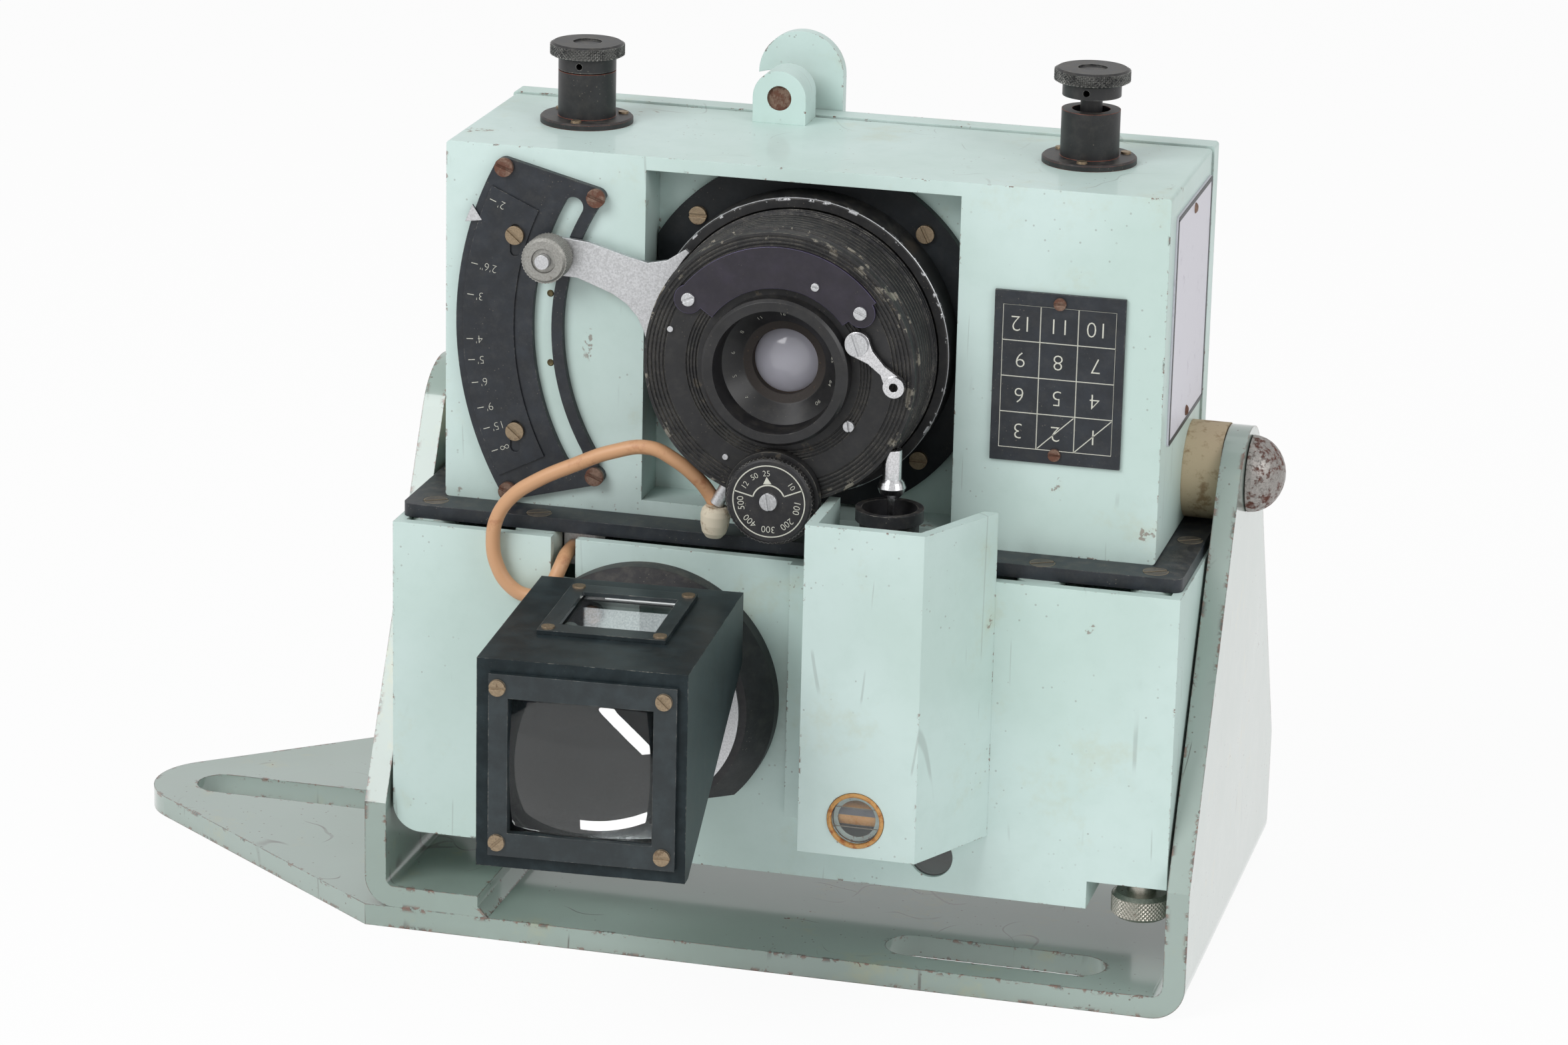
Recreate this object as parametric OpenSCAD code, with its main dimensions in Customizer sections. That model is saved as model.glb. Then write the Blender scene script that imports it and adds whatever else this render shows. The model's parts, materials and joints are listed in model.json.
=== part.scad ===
// Dial recording camera: a film camera on trunnions in a bent-plate bracket.
// The lens looks along -Y. The origin is on the bracket's underside, below the trunnion axis.

/* [Bracket] */
// Thickness of the bent plate
plate_t = 6.2; // [5:0.1:7]
// Height of the trunnion axis above the underside
axis_h = 136; // [135:0.5:150]
// Half the length of the bracket's floor, front to back
foot_half = 68.5; // [60:0.5:80]
// Height at which the arms begin to narrow
knee_h = 37; // [30:1:45]
// Radius of the arms' round heads
head_r = 19.5; // [17:0.5:22]
// Distance of the head's centre below the trunnion axis
head_drop = 6.5; // [5:0.5:8]
// Outer radius of the bends
bend_r = 9.5; // [8:0.5:12]
// Reach of the wing beyond the left arm
wing_reach = 92.5; // [85:0.5:110]
// Radius of the wing's tip
wing_tip_r = 19.5; // [17:0.5:22]
// Distance of the wing's middle line behind the trunnion axis
wing_back = 10.2; // [5:0.2:14]
// Width of the fixing slots
slot_w = 15; // [10:0.5:18]
// Length of the fixing slots, end to end
slot_l = 62; // [45:1:64]
// Length of the left arm's foot on the floor
arm_foot_l = 27; // [20:1:35]
// Height of the weld bead beside that foot
weld_h = 3; // [2:0.5:5]

/* [Camera housings] */
// Gap between the lower housing and each arm
arm_clear = 0.8; // [0.5:0.1:2]
// Wall thickness of the castings
wall = 3; // [2.5:0.1:3.5]
// Width of the film housing
film_w = 200; // [198:1:204]
// Depth of the film housing
film_d = 61.5; // [60:0.5:66]
// Height of the film housing above and below the pocket, together
film_rails = 8; // [6:0.5:13]
// Distance of the film housing's front ahead of the trunnion axis
film_front = 48.5; // [47:0.5:50]
// Corner radius of the film housing
film_r = 1; // [0.5:0.5:5]
// Length of the friction washers between the film housing and the arms
washer_l = 10.5; // [8:0.5:14]
// Height of the lower housing
lower_h = 90.5; // [86:0.5:91]
// Distance of the lower housing's front ahead of the trunnion axis
lower_front = 64.5; // [62:0.5:65]
// Corner radius of the lower housing
lower_r = 8; // [6:0.5:10]
// Distance of the deck's top below the trunnion axis
deck_drop = 13.6; // [12.5:0.1:15]
// Thickness of the deck plate
deck_t = 3.8; // [3:0.1:4.5]
// Distance of the deck plate's ends inside the lower housing's
deck_inset = 0.8; // [0.4:0.1:2]
// Distance of the deck's front ahead of the trunnion axis
deck_front = 59.2; // [57:0.2:59.4]
// Space between the focus ring and the pocket's sides
pocket_side = 1.9; // [1.5:0.1:3]
// Space between the focus ring and the pocket's top
pocket_space = 4.9; // [4.4:0.1:5.4]
// Depth of the lens pocket
pocket_d = 14; // [13:0.5:15]
// Thickness of the back cover
cover_t = 7; // [6:0.5:9]
// Radius of the trunnion bolts
bolt_r = 6; // [5:0.5:7]
// Radius of the trunnion bolts' domed heads
dome_r = 10.7; // [9.5:0.1:12]
// Height of the domed heads
dome_h = 9.5; // [8:0.5:10]
// Height of the left bolt's low head
low_head_h = 3; // [2:0.5:4]

/* [Lens and shutter] */
// Height of the lens axis above the film housing's middle
lens_rise = 1.1; // [0.5:0.1:2]
// Width of the focus ring's rim outside the case
focus_rim = 3.6; // [3:0.2:4.4]
// Radius of the shutter case
case_r = 38; // [37:0.1:38.2]
// Distance of the shutter's front ahead of the trunnion axis
case_front = 70.5; // [69:0.5:72]
// Outer radius of the lens front ring
cell_r = 20.2; // [19:0.2:21]
// Radius of the lens opening
glass_r = 9; // [8:0.2:11]
// Radius of the speed dial
dial_r = 11.6; // [10.6:0.2:12]
// Distance of the dial's centre inside the case's rim
dial_in = 2.9; // [1:0.1:4]
// Radius of the sliding trip rod
trip_r = 1.1; // [0.9:0.1:1.4]

/* [Distance scale] */
// Inner radius of the scale plate, from the lens axis
scale_in = 66; // [65:0.2:67]
// Outer radius of the scale plate
scale_out = 96.4; // [95:0.2:98]
// Radius of the slot's middle line
slot_arc_r = 71.9; // [71:0.1:73]
// Width of the arc slot
arc_slot_w = 5.4; // [5:0.2:6]
// Thickness of the scale plate
scale_t = 2; // [1.5:0.1:2.5]
// Angle of the focus arm, from +X towards +Z
arm_angle = 163.1; // [160:0.1:175]
// Radius of the clamp knob
clamp_r = 6.2; // [5:0.1:7]

/* [Finder] */
// Width of the finder
finder_w = 55.8; // [52:0.2:58]
// Height of the finder's front
finder_h = 57.2; // [54:0.2:58]
// Length of the finder
finder_l = 70; // [66:0.5:76]
// Angle at which the finder points in towards the lens
finder_yaw = 3.3; // [0:0.1:4]
// Radius of the finder's round base
base_r = 36.8; // [34:0.2:38]
// Thickness of the round base
base_t = 12; // [10:0.5:13]
// Wall thickness of the finder
finder_wall = 2; // [1.6:0.1:3]

/* [Knobs and level] */
// Distance of each winding knob from the middle plane
knob_x = 70.8; // [69:0.2:72]
// Distance of the winding knobs ahead of the trunnion axis
knob_fwd = 13.1; // [11:0.1:15]
// Radius of the winding knobs' rims
knob_r = 10; // [9:0.5:12]
// Height by which the right knob stands raised
knob_raised = 3.5; // [0:0.1:3.8]
// Length of the film spools
spool_l = 72; // [68:1:74]
// Radius of the film spools' flanges
spool_r = 20.5; // [18:0.5:21]
// Width of the level tower's front
tower_w = 32.5; // [31:0.5:35]
// Height of the level tower
tower_h = 92; // [90:0.2:92.2]
// Distance of the level tower's front ahead of the trunnion axis
tower_front = 91.5; // [90:0.5:92]
// Radius of the level window
level_r = 6.6; // [4.5:0.1:7.2]
// Radius of the access knob under the lower housing
base_knob_r = 8; // [7:0.2:9]

/* [Hidden] */
$fn = 64;
fit = 0.05;
seat = 0.3;
skin = 0.1;

// Levels and planes that several pieces share
arm_in = film_w / 2 + washer_l + seat;
lower_w = 2 * (arm_in - arm_clear);
deck_w = lower_w - 2 * deck_inset;
arm_out = arm_in + plate_t;
deck_z = axis_h - deck_drop;
focus_r = case_r + focus_rim;
pocket_w = 2 * (focus_r + pocket_side);
pocket_h = 2 * (focus_r + pocket_space);
film_h = pocket_h + film_rails;
lens_up = film_h / 2 + lens_rise;
lower_top = deck_z - deck_t;
lower_bot = lower_top - lower_h;
film_top = deck_z + film_h;
film_half = film_w / 2;
film_back = film_d - film_front;
chamber_bot = deck_z + wall;
chamber_top = film_top - wall;
lens_z = deck_z + lens_up;
pocket_f = film_front - pocket_d;
cover_gap = 0.9;
cover_in = film_back + cover_gap;
cover_out = cover_in + cover_t;

// Hinge and latch of the back cover
hinge_r = 2.4;
hinge_pin_r = 1.2;
hinge_y = film_back + 4.2;
hinge_z = deck_z - 2.8;
hinge_x = 60;
leaf_t = 1.4;
leaf_l = 24;
knuckle_l = 10;
latch_x = -19.7;
latch_z = film_top + 7.2;
latch_pivot = [latch_x + 5.3, latch_z - 60];
hook_disc = [latch_x + 1.2, latch_z + 2.9];
hook_r = 12.2;
hook_t = 3.5;
stud_r = 4;
lug_w = 15.2;
lug_d = 11.5;

// Winding: bush, sleeve, spindle and spool
flange_r = 12.9;
flange_t = 1.8;
bush_r = 8;
bush_top = film_top + 14.6;
bush_bore = 5.2;
spindle_r = 3;
collar_h = 3.7;
rim_h = 3.8;
spool_bot = deck_z + 15.6;
spool_top = spool_bot + spool_l;
key_depth = 3;
key_w = 4.6;
key_t = 1.6;

// Trunnions
washer_r = deck_drop - skin;
boss_l = 4.7;

// Lens mount, focus ring and shutter
mount_r = case_r - 2;
thread_t = 2;
tunnel = mount_r + 4;
gate_w = tunnel + 4;
gate_h = tunnel + 2;
flange_disc_r = focus_r + 8.4;
flange_plate_t = 3;
flange_pitch = sqrt(2) * (focus_r + 3.2);
flange_front = pocket_f + flange_plate_t;
ring_front = film_front;
tube_front = ring_front - 5;
case_back = ring_front - 0.3;
iris_len = 5;
case_mid = case_back + iris_len + seat;
face_wall = 3;
blade_t = 1.2;
fine_shank_r = 0.9;
cover_screw_places = [[-24.8, 17.2], [22.3, 17.5], [9.9, 23.6]];
case_screw_places = concat(cover_screw_places, [[19.8, -14]]);
post_y = 67.5;
socket_x = 31.2;
ball_z = lens_z - sqrt(pow(case_r, 2) - pow(socket_x, 2)) - 9;
ball_r = 3.9;
socket_r = 2.6;
guide_y = 69;
guide_r = 9.2;
guide_top = deck_z + 15.6;
head_top = deck_z + 4;
coil_r = 8.5;
tower_bot = lower_bot + 17.9;
coil_bot = tower_bot + wall;
coil_top = lower_top - 6;
plunger_r = 3.2;
pivot_at = [22, lens_z + 9.3];
lever_head_r = 3.45;
eye_at = [32.4, lens_z - 1.3];
dial_at = [-0.1, lens_z - case_r + dial_in];
dial_base_front = case_front + 3.5;
dial_front = dial_base_front + 3.4;
dial_body_r = 11;
sync_at = [-18, -64, lens_z - case_r - 3.3];
cell_depth = 7.6;
post_l = 8;
post_lean = 28;
boot_lean = 4;
boot_l = 9.7;

// Distance scale
scale_front = film_front + scale_t;
band_t = 0.5;
arm_t = 1.5;
arm_back = scale_front + band_t + 0.2;
arm_front = arm_back + arm_t;
clamp_at = [slot_arc_r * cos(arm_angle), lens_z + slot_arc_r * sin(arm_angle)];
clamp_h = 7;
stud_small_r = 2;
plate_screw_r = 2.6;

// Finder
base_x = -36;
base_z = lower_top - 41;
base_front = lower_front + base_t;
base_cut = 26;
teeth_t = 1;
finder_back = base_front + teeth_t + seat + finder_w / 2 * sin(finder_yaw);
spigot_r = 9;
finder_mid = [-34.2, base_z + 6.7];
finder_low = finder_mid[1] - finder_h / 2;
finder_high = finder_mid[1] + finder_h / 2;
heel_h = 20;
frame_t = 1.5;
window_w = 38.5;
window_h = 37;
eye_w = 27;
eye_l = 29;
eye_mid = 28;

// Tower and level
tower_x = 13.5;
tower_slant = 14;
tower_x1 = tower_x + tower_w;
level_at = [tower_x + 15.9, tower_bot + 10.5];
seal_w = 1.2;
sight_at = [44.6, lower_bot + 10.1];
sight_r = 6;
step_x = lower_w / 2 - 22;
step_h = 7.9;
base_knob_at = [lower_w / 2 - 9.6, -48];
notch_x = -61;
notch_w = 7;
notch_d = 12;
screw_places = [[lower_w / 2 - 8.9, 5.7 - deck_front], [lower_w / 2 - 5, -23.1], [70.6, 3.5 - deck_front]];
cable_r = 2;
post_r = 6.5;

// The shutter's cable, held by the boot at one end and by the lower housing at the other;
// heights are from the trunnion axis
cable_route = [for (p = [
        [-21.4, -64.2, -2.1], [-23, -65, 1.6], [-25.8, -66, 5.6], [-29.7, -66.6, 8.9],
        [-36, -67.2, 11.6], [-46.3, -67.8, 9.7], [-57, -68, 5], [-67.5, -68.2, -0.4],
        [-74.5, -68, -5.6], [-78.8, -68, -12], [-80, -68, -19], [-78.8, -68, -25.7],
        [-75.2, -68, -31.2], [-70.4, -68, -33.6], [-66, -68, -32.8], [-63, -67.6, -29.4],
        [-61.5, -66, -25.6], [-61, -62.5, -23.1], [-61, -58, -22.6], [-61, -54, -22.6]])
    p + [0, 0, axis_h]];
cable_sides = 8;
cable_end = cable_route[len(cable_route) - 1];

// A cylinder along Y, from forward distance f0 to f1 (forward is -Y), centred on at = [x, z]
module rod_f(r, f0, f1, at = [0, 0]) {
    translate([at[0], -f0, at[1]]) rotate([90, 0, 0]) cylinder(r = r, h = f1 - f0);
}

// A cylinder along X, from x0 to x1, centred on at = [y, z]
module rod_x(r, x0, x1, at) {
    translate([x0, at[0], at[1]]) rotate([0, 90, 0]) cylinder(r = r, h = x1 - x0);
}

// A cylinder along Z, from z0 to z1, centred on at = [x, y]
module rod_z(r, z0, z1, at) {
    translate([at[0], at[1], z0]) cylinder(r = r, h = z1 - z0);
}

// A box between two corners
module block(low, high) {
    translate(low) cube(high - low);
}

// A turned piece about the Y direction through at = [x, z]; the profile holds [radius, forward] points
module turned_f(profile, at = [0, 0]) {
    translate([at[0], 0, at[1]]) rotate([90, 0, 0]) rotate_extrude() polygon(profile);
}

// A turned piece about a vertical line through at = [x, y]
module turned_z(profile, at) {
    translate([at[0], at[1], 0]) rotate_extrude() polygon(profile);
}

// An outline drawn in X and Z, made into a plate from forward distance f0 to f1
module plate_f(f0, f1) {
    translate([0, -f0, 0]) rotate([90, 0, 0]) linear_extrude(height = f1 - f0) children();
}

// An outline drawn in Y and Z, made into a plate from x0 to x1
module plate_x(x0, x1) {
    translate([x0, 0, 0]) rotate([90, 0, 90]) linear_extrude(height = x1 - x0) children();
}

// A rectangle with round corners, from its low corner to its high corner
module round_rect(low, high, r) {
    union() {
        translate([low[0] + r, low[1]]) square([high[0] - low[0] - 2 * r, high[1] - low[1]]);
        translate([low[0], low[1] + r]) square([high[0] - low[0], high[1] - low[1] - 2 * r]);
        for (x = [low[0] + r, high[0] - r], z = [low[1] + r, high[1] - r]) translate([x, z]) circle(r);
    }
}

// A slot with round ends, centred on c and lying along X, as an outline
module slot_outline(c, l, w) {
    translate([c[0] - (l - w) / 2, c[1] - w / 2]) square([l - w, w]);
    for (s = [-1, 1]) translate([c[0] + s * (l - w) / 2, c[1]]) circle(w / 2);
}

// The part of a ring between two angles, as an outline
module arc_band(r0, r1, a0, a1) {
    reach = r1 * 2;
    intersection() {
        difference() {
            circle(r1);
            circle(r0);
        }
        polygon(concat([[0, 0]], [for (i = [0:4]) reach * [cos(a0 + (a1 - a0) * i / 4),
            sin(a0 + (a1 - a0) * i / 4)]]));
    }
}

// A slotted screw head facing forward, with its shank behind it
module screw_f(at, f, r, h, shank_r, shank_l, turn = 0) {
    difference() {
        union() {
            rod_f(r, f, f + h, at);
            rod_f(shank_r, f - shank_l, f + 0.01, at);
        }
        translate([at[0], -f - h, at[1]]) rotate([0, turn, 0]) cube([3 * r, h, r / 3], center = true);
    }
}

// Point where a line from p touches the circle (c, r), on the side given
function touch(c, r, p, side) =
    let (d = norm(p - c), a = atan2(p[1] - c[1], p[0] - c[0]), b = side * acos(r / d))
    c + r * [cos(a + b), sin(a + b)];

// Side view of the arms
module arm_outline() {
    head_z = axis_h - head_drop;
    polygon([[-foot_half, 0], [foot_half, 0], [foot_half, knee_h],
        touch([0, head_z], head_r, [foot_half, knee_h], 1), [0, head_z],
        touch([0, head_z], head_r, [-foot_half, knee_h], -1), [-foot_half, knee_h]]);
    translate([0, head_z]) circle(head_r);
}

// Cross-section of a floor that bends up into an arm on the right
module bend_section(x0, x1, r, top) {
    translate([x0, 0]) square([x1 - r - x0, plate_t]);
    translate([x1 - plate_t, r]) square([plate_t, top - r]);
    intersection() {
        translate([x1 - r, r]) difference() {
            circle(r);
            circle(r - plate_t);
        }
        translate([x1 - r, 0]) square([r, r]);
    }
}

module mount_bracket() {
    tip = [-arm_out - wing_reach + wing_tip_r, wing_back];
    front_root = [-arm_out, -foot_half];
    back_root = [-arm_out - 35, foot_half];
    color([0.66, 0.74, 0.70]) difference() {
        union() {
            intersection() {
                translate([0, foot_half, 0]) rotate([90, 0, 0]) linear_extrude(height = 2 * foot_half)
                    bend_section(0, arm_out, bend_r, axis_h + head_r);
                plate_x(-1, arm_out + 1) arm_outline();
            }
            linear_extrude(height = plate_t) {
                polygon([front_root, [1, -foot_half], [1, foot_half], back_root,
                    touch(tip, wing_tip_r, back_root, 1), tip, touch(tip, wing_tip_r, front_root, -1)]);
                translate(tip) circle(wing_tip_r);
            }
        }
        rod_x(bolt_r + fit, arm_in - 1, arm_out + 1, [0, axis_h]);
        translate([0, 0, -1]) linear_extrude(height = plate_t + 2) {
            slot_outline([tip[0] - wing_tip_r + 13 + slot_l / 2, wing_back], slot_l, slot_w);
            for (s = [-1, 1]) slot_outline([61, s * (foot_half - 16.5)], slot_l, slot_w);
        }
    }
}

module left_arm() {
    foot_end = -arm_in + arm_foot_l;
    color([0.66, 0.74, 0.70]) difference() {
        union() {
            intersection() {
                translate([0, foot_half, plate_t]) mirror([1, 0, 0]) rotate([90, 0, 0])
                    linear_extrude(height = 2 * foot_half)
                    bend_section(-foot_end, arm_out, bend_r - 1, axis_h + head_r);
                plate_x(-arm_out - 1, foot_end + 1) arm_outline();
            }
            translate([0, foot_half, plate_t]) rotate([90, 0, 0]) linear_extrude(height = 2 * foot_half)
                polygon([[foot_end - 0.01, 0], [foot_end + weld_h, 0], [foot_end - 0.01, weld_h]]);
        }
        rod_x(bolt_r + fit, -arm_out - 1, -arm_in + 1, [0, axis_h]);
    }
}

module trunnion_bolts() {
    root = film_half - wall - boss_l;
    base = arm_out + seat;
    color([0.5, 0.5, 0.48]) for (s = [0, 1]) mirror([s, 0, 0]) translate([0, 0, axis_h]) rotate([0, 90, 0]) {
        rise = s == 0 ? dome_h : low_head_h;
        rotate_extrude() polygon(concat([[0, root], [bolt_r, root], [bolt_r, base]],
            [for (a = [0:10:80]) [dome_r * cos(a), base + rise * sin(a)]], [[0, base + rise]]));
    }
}

module friction_washers() {
    color([0.36, 0.25, 0.16]) for (s = [0, 1]) mirror([s, 0, 0]) difference() {
        rod_x(washer_r, film_half, arm_in - seat, [0, axis_h]);
        rod_x(bolt_r + fit, film_half - 1, arm_in + 1, [0, axis_h]);
    }
}

module deck_plate() {
    color([0.08, 0.08, 0.1]) difference() {
        translate([0, 0, lower_top]) linear_extrude(height = deck_t)
            round_rect([-deck_w / 2, -deck_front], [deck_w / 2, film_back], 3);
        for (s = [-1, 1], p = screw_places) rod_z(1.6, lower_top - 1, deck_z + 1, [s * p[0], p[1]]);
        for (s = [-1, 1], p = screw_places)
            turned_z([[0, deck_z - 2], [1.6, deck_z - 2], [3.7, deck_z + 0.1], [0, deck_z + 0.1]],
                [s * p[0], p[1]]);
        block([-30, -20, lower_top - 1], [30, 0, deck_z + 1]);
    }
}

module housing_screws() {
    half = flange_pitch / 2;
    color([0.45, 0.4, 0.35]) {
        for (s = [-1, 1], p = screw_places) difference() {
            turned_z([[0, lower_top - 8], [1.5, lower_top - 8], [1.5, deck_z - 2.02], [3.5, deck_z - 0.02],
                [0, deck_z - 0.02]], [s * p[0], p[1]]);
            translate([s * p[0], p[1], deck_z]) rotate([0, 0, 30]) cube([8, 0.8, 1.2], center = true);
        }
        for (x = [-half, half], z = [-half, half])
            screw_f([x, lens_z + z], flange_front, 2.5, 1.2, 1.5, 5, x + z);
        for (x = [-hinge_x, hinge_x], s = [-8, 8]) translate([x + s, 0, 0]) mirror([0, 1, 0])
            screw_f([0, lower_top - 6], film_back + leaf_t, 1.7, 0.8, 1, 3);
    }
}

// The lower housing's outline from the front, with the step for the access knob
module lower_outline(inset) {
    difference() {
        round_rect([-lower_w / 2 + inset, lower_bot + inset],
            [lower_w / 2 - inset, lower_top + lower_r * 2],
            lower_r - inset);
        translate([step_x - inset, lower_bot - 1]) square([lower_w, step_h + 1 + inset]);
    }
}

module lower_housing() {
    color([0.77, 0.86, 0.82]) difference() {
        intersection() {
            plate_f(-film_back, lower_front) lower_outline(0);
            block([-lower_w, -lower_front, 0], [lower_w, film_back, lower_top]);
        }
        difference() {
            plate_f(-film_back + wall, lower_front - wall) lower_outline(wall);
            for (s = [-1, 1], p = screw_places)
                rod_z(post_r, lower_top - 14, lower_top + 1, [s * p[0], p[1]]);
            rod_z(5, lower_bot, lower_bot + step_h + 12, base_knob_at);
        }
        for (s = [-1, 1], p = screw_places)
            rod_z(1.5 + fit, lower_top - 10, lower_top + 1, [s * p[0], p[1]]);
        for (x = [-hinge_x, hinge_x], s = [-8, 8])
            rod_f(1 + fit, -film_back - 1, -film_back + 4, [x + s, lower_top - 6]);
        rod_z(2 + fit, lower_bot - 1, lower_bot + step_h + 10, base_knob_at);
        block([notch_x - notch_w / 2, -lower_front - 1, lower_top - notch_d],
            [notch_x + notch_w / 2, -lower_front + wall + 1, lower_top + 1]);
        block([tower_x + wall + 1, -lower_front - 1, tower_bot + wall],
            [tower_x1 + 3, -lower_front + wall + 1, lower_top + 1]);
        rod_f(sight_r + fit, lower_front - wall - 1, lower_front + 1, sight_at);
        rod_f(spigot_r + 4, lower_front - wall - 1, lower_front + 1, [base_x, base_z]);
    }
}

module level_tower() {
    low = tower_bot;
    outline = [[tower_x, -tower_front], [tower_x1, -tower_front], [tower_x1 + tower_slant, -lower_front],
        [tower_x, -lower_front]];
    hollow = [[tower_x + wall, -tower_front + wall], [tower_x1 - wall * 0.6, -tower_front + wall],
        [tower_x1 + tower_slant - wall * 1.2, -lower_front + 1], [tower_x + wall, -lower_front + 1]];
    color([0.77, 0.86, 0.82]) difference() {
        union() {
            translate([0, 0, low]) linear_extrude(height = tower_h) polygon(outline);
            block([tower_x - 9.8, -lower_front - wall, low], [tower_x + 0.01, -lower_front, lower_top]);
        }
        translate([0, 0, low + wall]) linear_extrude(height = tower_h) polygon(hollow);
        rod_f(level_r + seal_w + skin, tower_front - wall - 1, tower_front + 1, level_at);
    }
}

module level_seal() {
    color([0.8, 0.5, 0.2]) turned_f([[level_r + skin, tower_front - wall],
        [level_r + seal_w, tower_front - wall],
        [level_r + seal_w, tower_front + 0.3], [level_r + seal_w - 0.7, tower_front + 0.7],
        [level_r + skin, tower_front + 0.4]], level_at);
}

module window_glasses() {
    color([0.8, 0.85, 0.85]) {
        rod_f(level_r, tower_front - 2, tower_front - 0.5, level_at);
        rod_f(sight_r, lower_front - wall, lower_front - 1, sight_at);
    }
}

module level_vial() {
    vial_r = 3.6;
    f = tower_front - wall - vial_r - seat;
    color([0.95, 0.65, 0.2]) rod_x(vial_r, level_at[0] - 9, level_at[0] + 9, [-f, level_at[1]]);
    color([0.6, 0.6, 0.6]) for (s = [-1, 1]) difference() {
        block([level_at[0] + s * 8 - 1.2, -tower_front + wall, tower_bot + wall],
            [level_at[0] + s * 8 + 1.2, -f + vial_r + 1.5, level_at[1] + vial_r]);
        rod_x(vial_r + skin, level_at[0] - 10, level_at[0] + 10, [-f, level_at[1]]);
    }
}

module film_housing() {
    pocket_low = lens_z - pocket_h / 2 - 0.9;
    side = pocket_w / 2;
    color([0.8, 0.88, 0.85]) difference() {
        union() {
            difference() {
                plate_f(-film_back, film_front) round_rect([-film_half, deck_z], [film_half, film_top],
                    film_r);
                block([-film_half + wall, -film_front + wall, chamber_bot],
                    [film_half - wall, film_back + 1, chamber_top]);
            }
            block([-side - wall, -film_front + 1, deck_z + 1],
                [side + wall, -pocket_f + wall, film_top - 1]);
            block([-tunnel, -pocket_f, lens_z - tunnel], [tunnel, film_back - 4, lens_z + tunnel]);
            for (s = [0, 1]) mirror([s, 0, 0]) {
                rod_x(11, film_half - wall - boss_l, film_half - 1, [0, axis_h]);
                rod_z(5, chamber_bot - 1, spool_bot - seat, [knob_x, -knob_fwd]);
                rod_z(spindle_r, chamber_bot, spool_bot + 5, [knob_x, -knob_fwd]);
            }
        }
        block([-side, -film_front - 1, pocket_low], [side, -pocket_f, pocket_low + pocket_h]);
        block([-tunnel + wall, -pocket_f + wall, lens_z - tunnel + wall],
            [tunnel - wall, film_back, lens_z + tunnel - wall]);
        rod_f(mount_r + 0.3, pocket_f - wall - 1, pocket_f + 1, [0, lens_z]);
        for (x = [-1, 1], z = [-1, 1])
            rod_f(1.5 + fit, pocket_f - 2.5, pocket_f + 1,
                [x * flange_pitch / 2, lens_z + z * flange_pitch / 2]);
        for (s = [0, 1]) mirror([s, 0, 0]) {
            rod_x(bolt_r + fit, film_half - wall - boss_l - 1, film_half + 1, [0, axis_h]);
            rod_z(bush_bore, film_top - wall - 1, film_top + 1, [knob_x, -knob_fwd]);
        }
    }
}

module film_gate() {
    front = -(film_back - 4);
    aperture = 30;
    roller_r = 2.5;
    color([0.3, 0.3, 0.32]) {
        difference() {
            block([-gate_w, -front, lens_z - gate_h], [gate_w, -front + 3, lens_z + gate_h]);
            block([-aperture, -front - 1, lens_z - aperture], [aperture, -front + 4, lens_z + aperture]);
        }
        for (s = [-1, 1]) {
            rod_z(roller_r, lens_z - tunnel, lens_z + tunnel,
                [s * (gate_w + roller_r - 0.3), -front + 0.5]);
        }
    }
}

module lens_flange() {
    side = pocket_w / 2 - 0.5;
    color([0.07, 0.07, 0.08]) difference() {
        union() {
            intersection() {
                rod_f(flange_disc_r, pocket_f, flange_front, [0, lens_z]);
                block([-side, -flange_front - 1, lens_z - pocket_h / 2 + 0.2],
                    [side, -pocket_f + 1, lens_z + pocket_h / 2 - 1.2]);
            }
            rod_f(mount_r + thread_t, pocket_f, tube_front, [0, lens_z]);
        }
        rod_f(mount_r, pocket_f - 1, tube_front + 1, [0, lens_z]);
        for (x = [-1, 1], z = [-1, 1])
            rod_f(1.5 + fit, pocket_f - 1, flange_front + 1,
                [x * flange_pitch / 2, lens_z + z * flange_pitch / 2]);
    }
}

// Outline of the scale plate, with the lens axis at the origin
module scale_outline() {
    tl = scale_screw_places[0];
    tr = scale_screw_places[1];
    bl = scale_screw_places[2];
    br = scale_screw_places[3];
    up = across(tl, tr);
    low = across(br, bl);
    r = plate_corner;
    w = arc_slot_w / 2;
    difference() {
        intersection() {
            polygon(concat(arc_points(tl, r, 150, up, 6), arc_points(tr, r, up, -40, 6),
                arc_points(br, r, 75, low, 6), arc_points(bl, r, low, -150, 6),
                [[-1.2 * scale_out, bl[1]], [-1.2 * scale_out, tl[1]]]));
            circle(scale_out);
        }
        circle(scale_in);
        arc_band(slot_arc_r - w, slot_arc_r + w, slot_ends[0], slot_ends[1]);
        for (a = slot_ends) translate(slot_arc_r * [cos(a), sin(a)]) circle(w);
    }
}

// Angle of the direction across the line from a to b, on its left
function across(a, b) = atan2(b[0] - a[0], a[1] - b[1]);

// Points of an arc about c between two angles, in n steps, without the first and last few
function arc_points(c, r, a0, a1, n, less = 0) = [for (k = [less:n - less])
    let (t = a0 + (a1 - a0) * k / n) c + r * [cos(t), sin(t)]];

scale_screw_places = [[-82.8, 43.8], [-56.8, 37.3], [-81.2, 3.8 - lens_up], [-56.3, 10.4 - lens_up]];
plate_corner = 2.6;
band_screw_places = [[-79.5, 25.2], [-79.1, -30.3]];
slot_ends = [151.5, 209.5];
band_ends = [156, 207.5];

module scale_plate() {
    color([0.09, 0.09, 0.11]) difference() {
        plate_f(film_front, scale_front) translate([0, lens_z]) scale_outline();
        for (p = concat(scale_screw_places, band_screw_places))
            rod_f(1.3, film_front - 1, scale_front + 1, [p[0], lens_z + p[1]]);
    }
}

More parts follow.
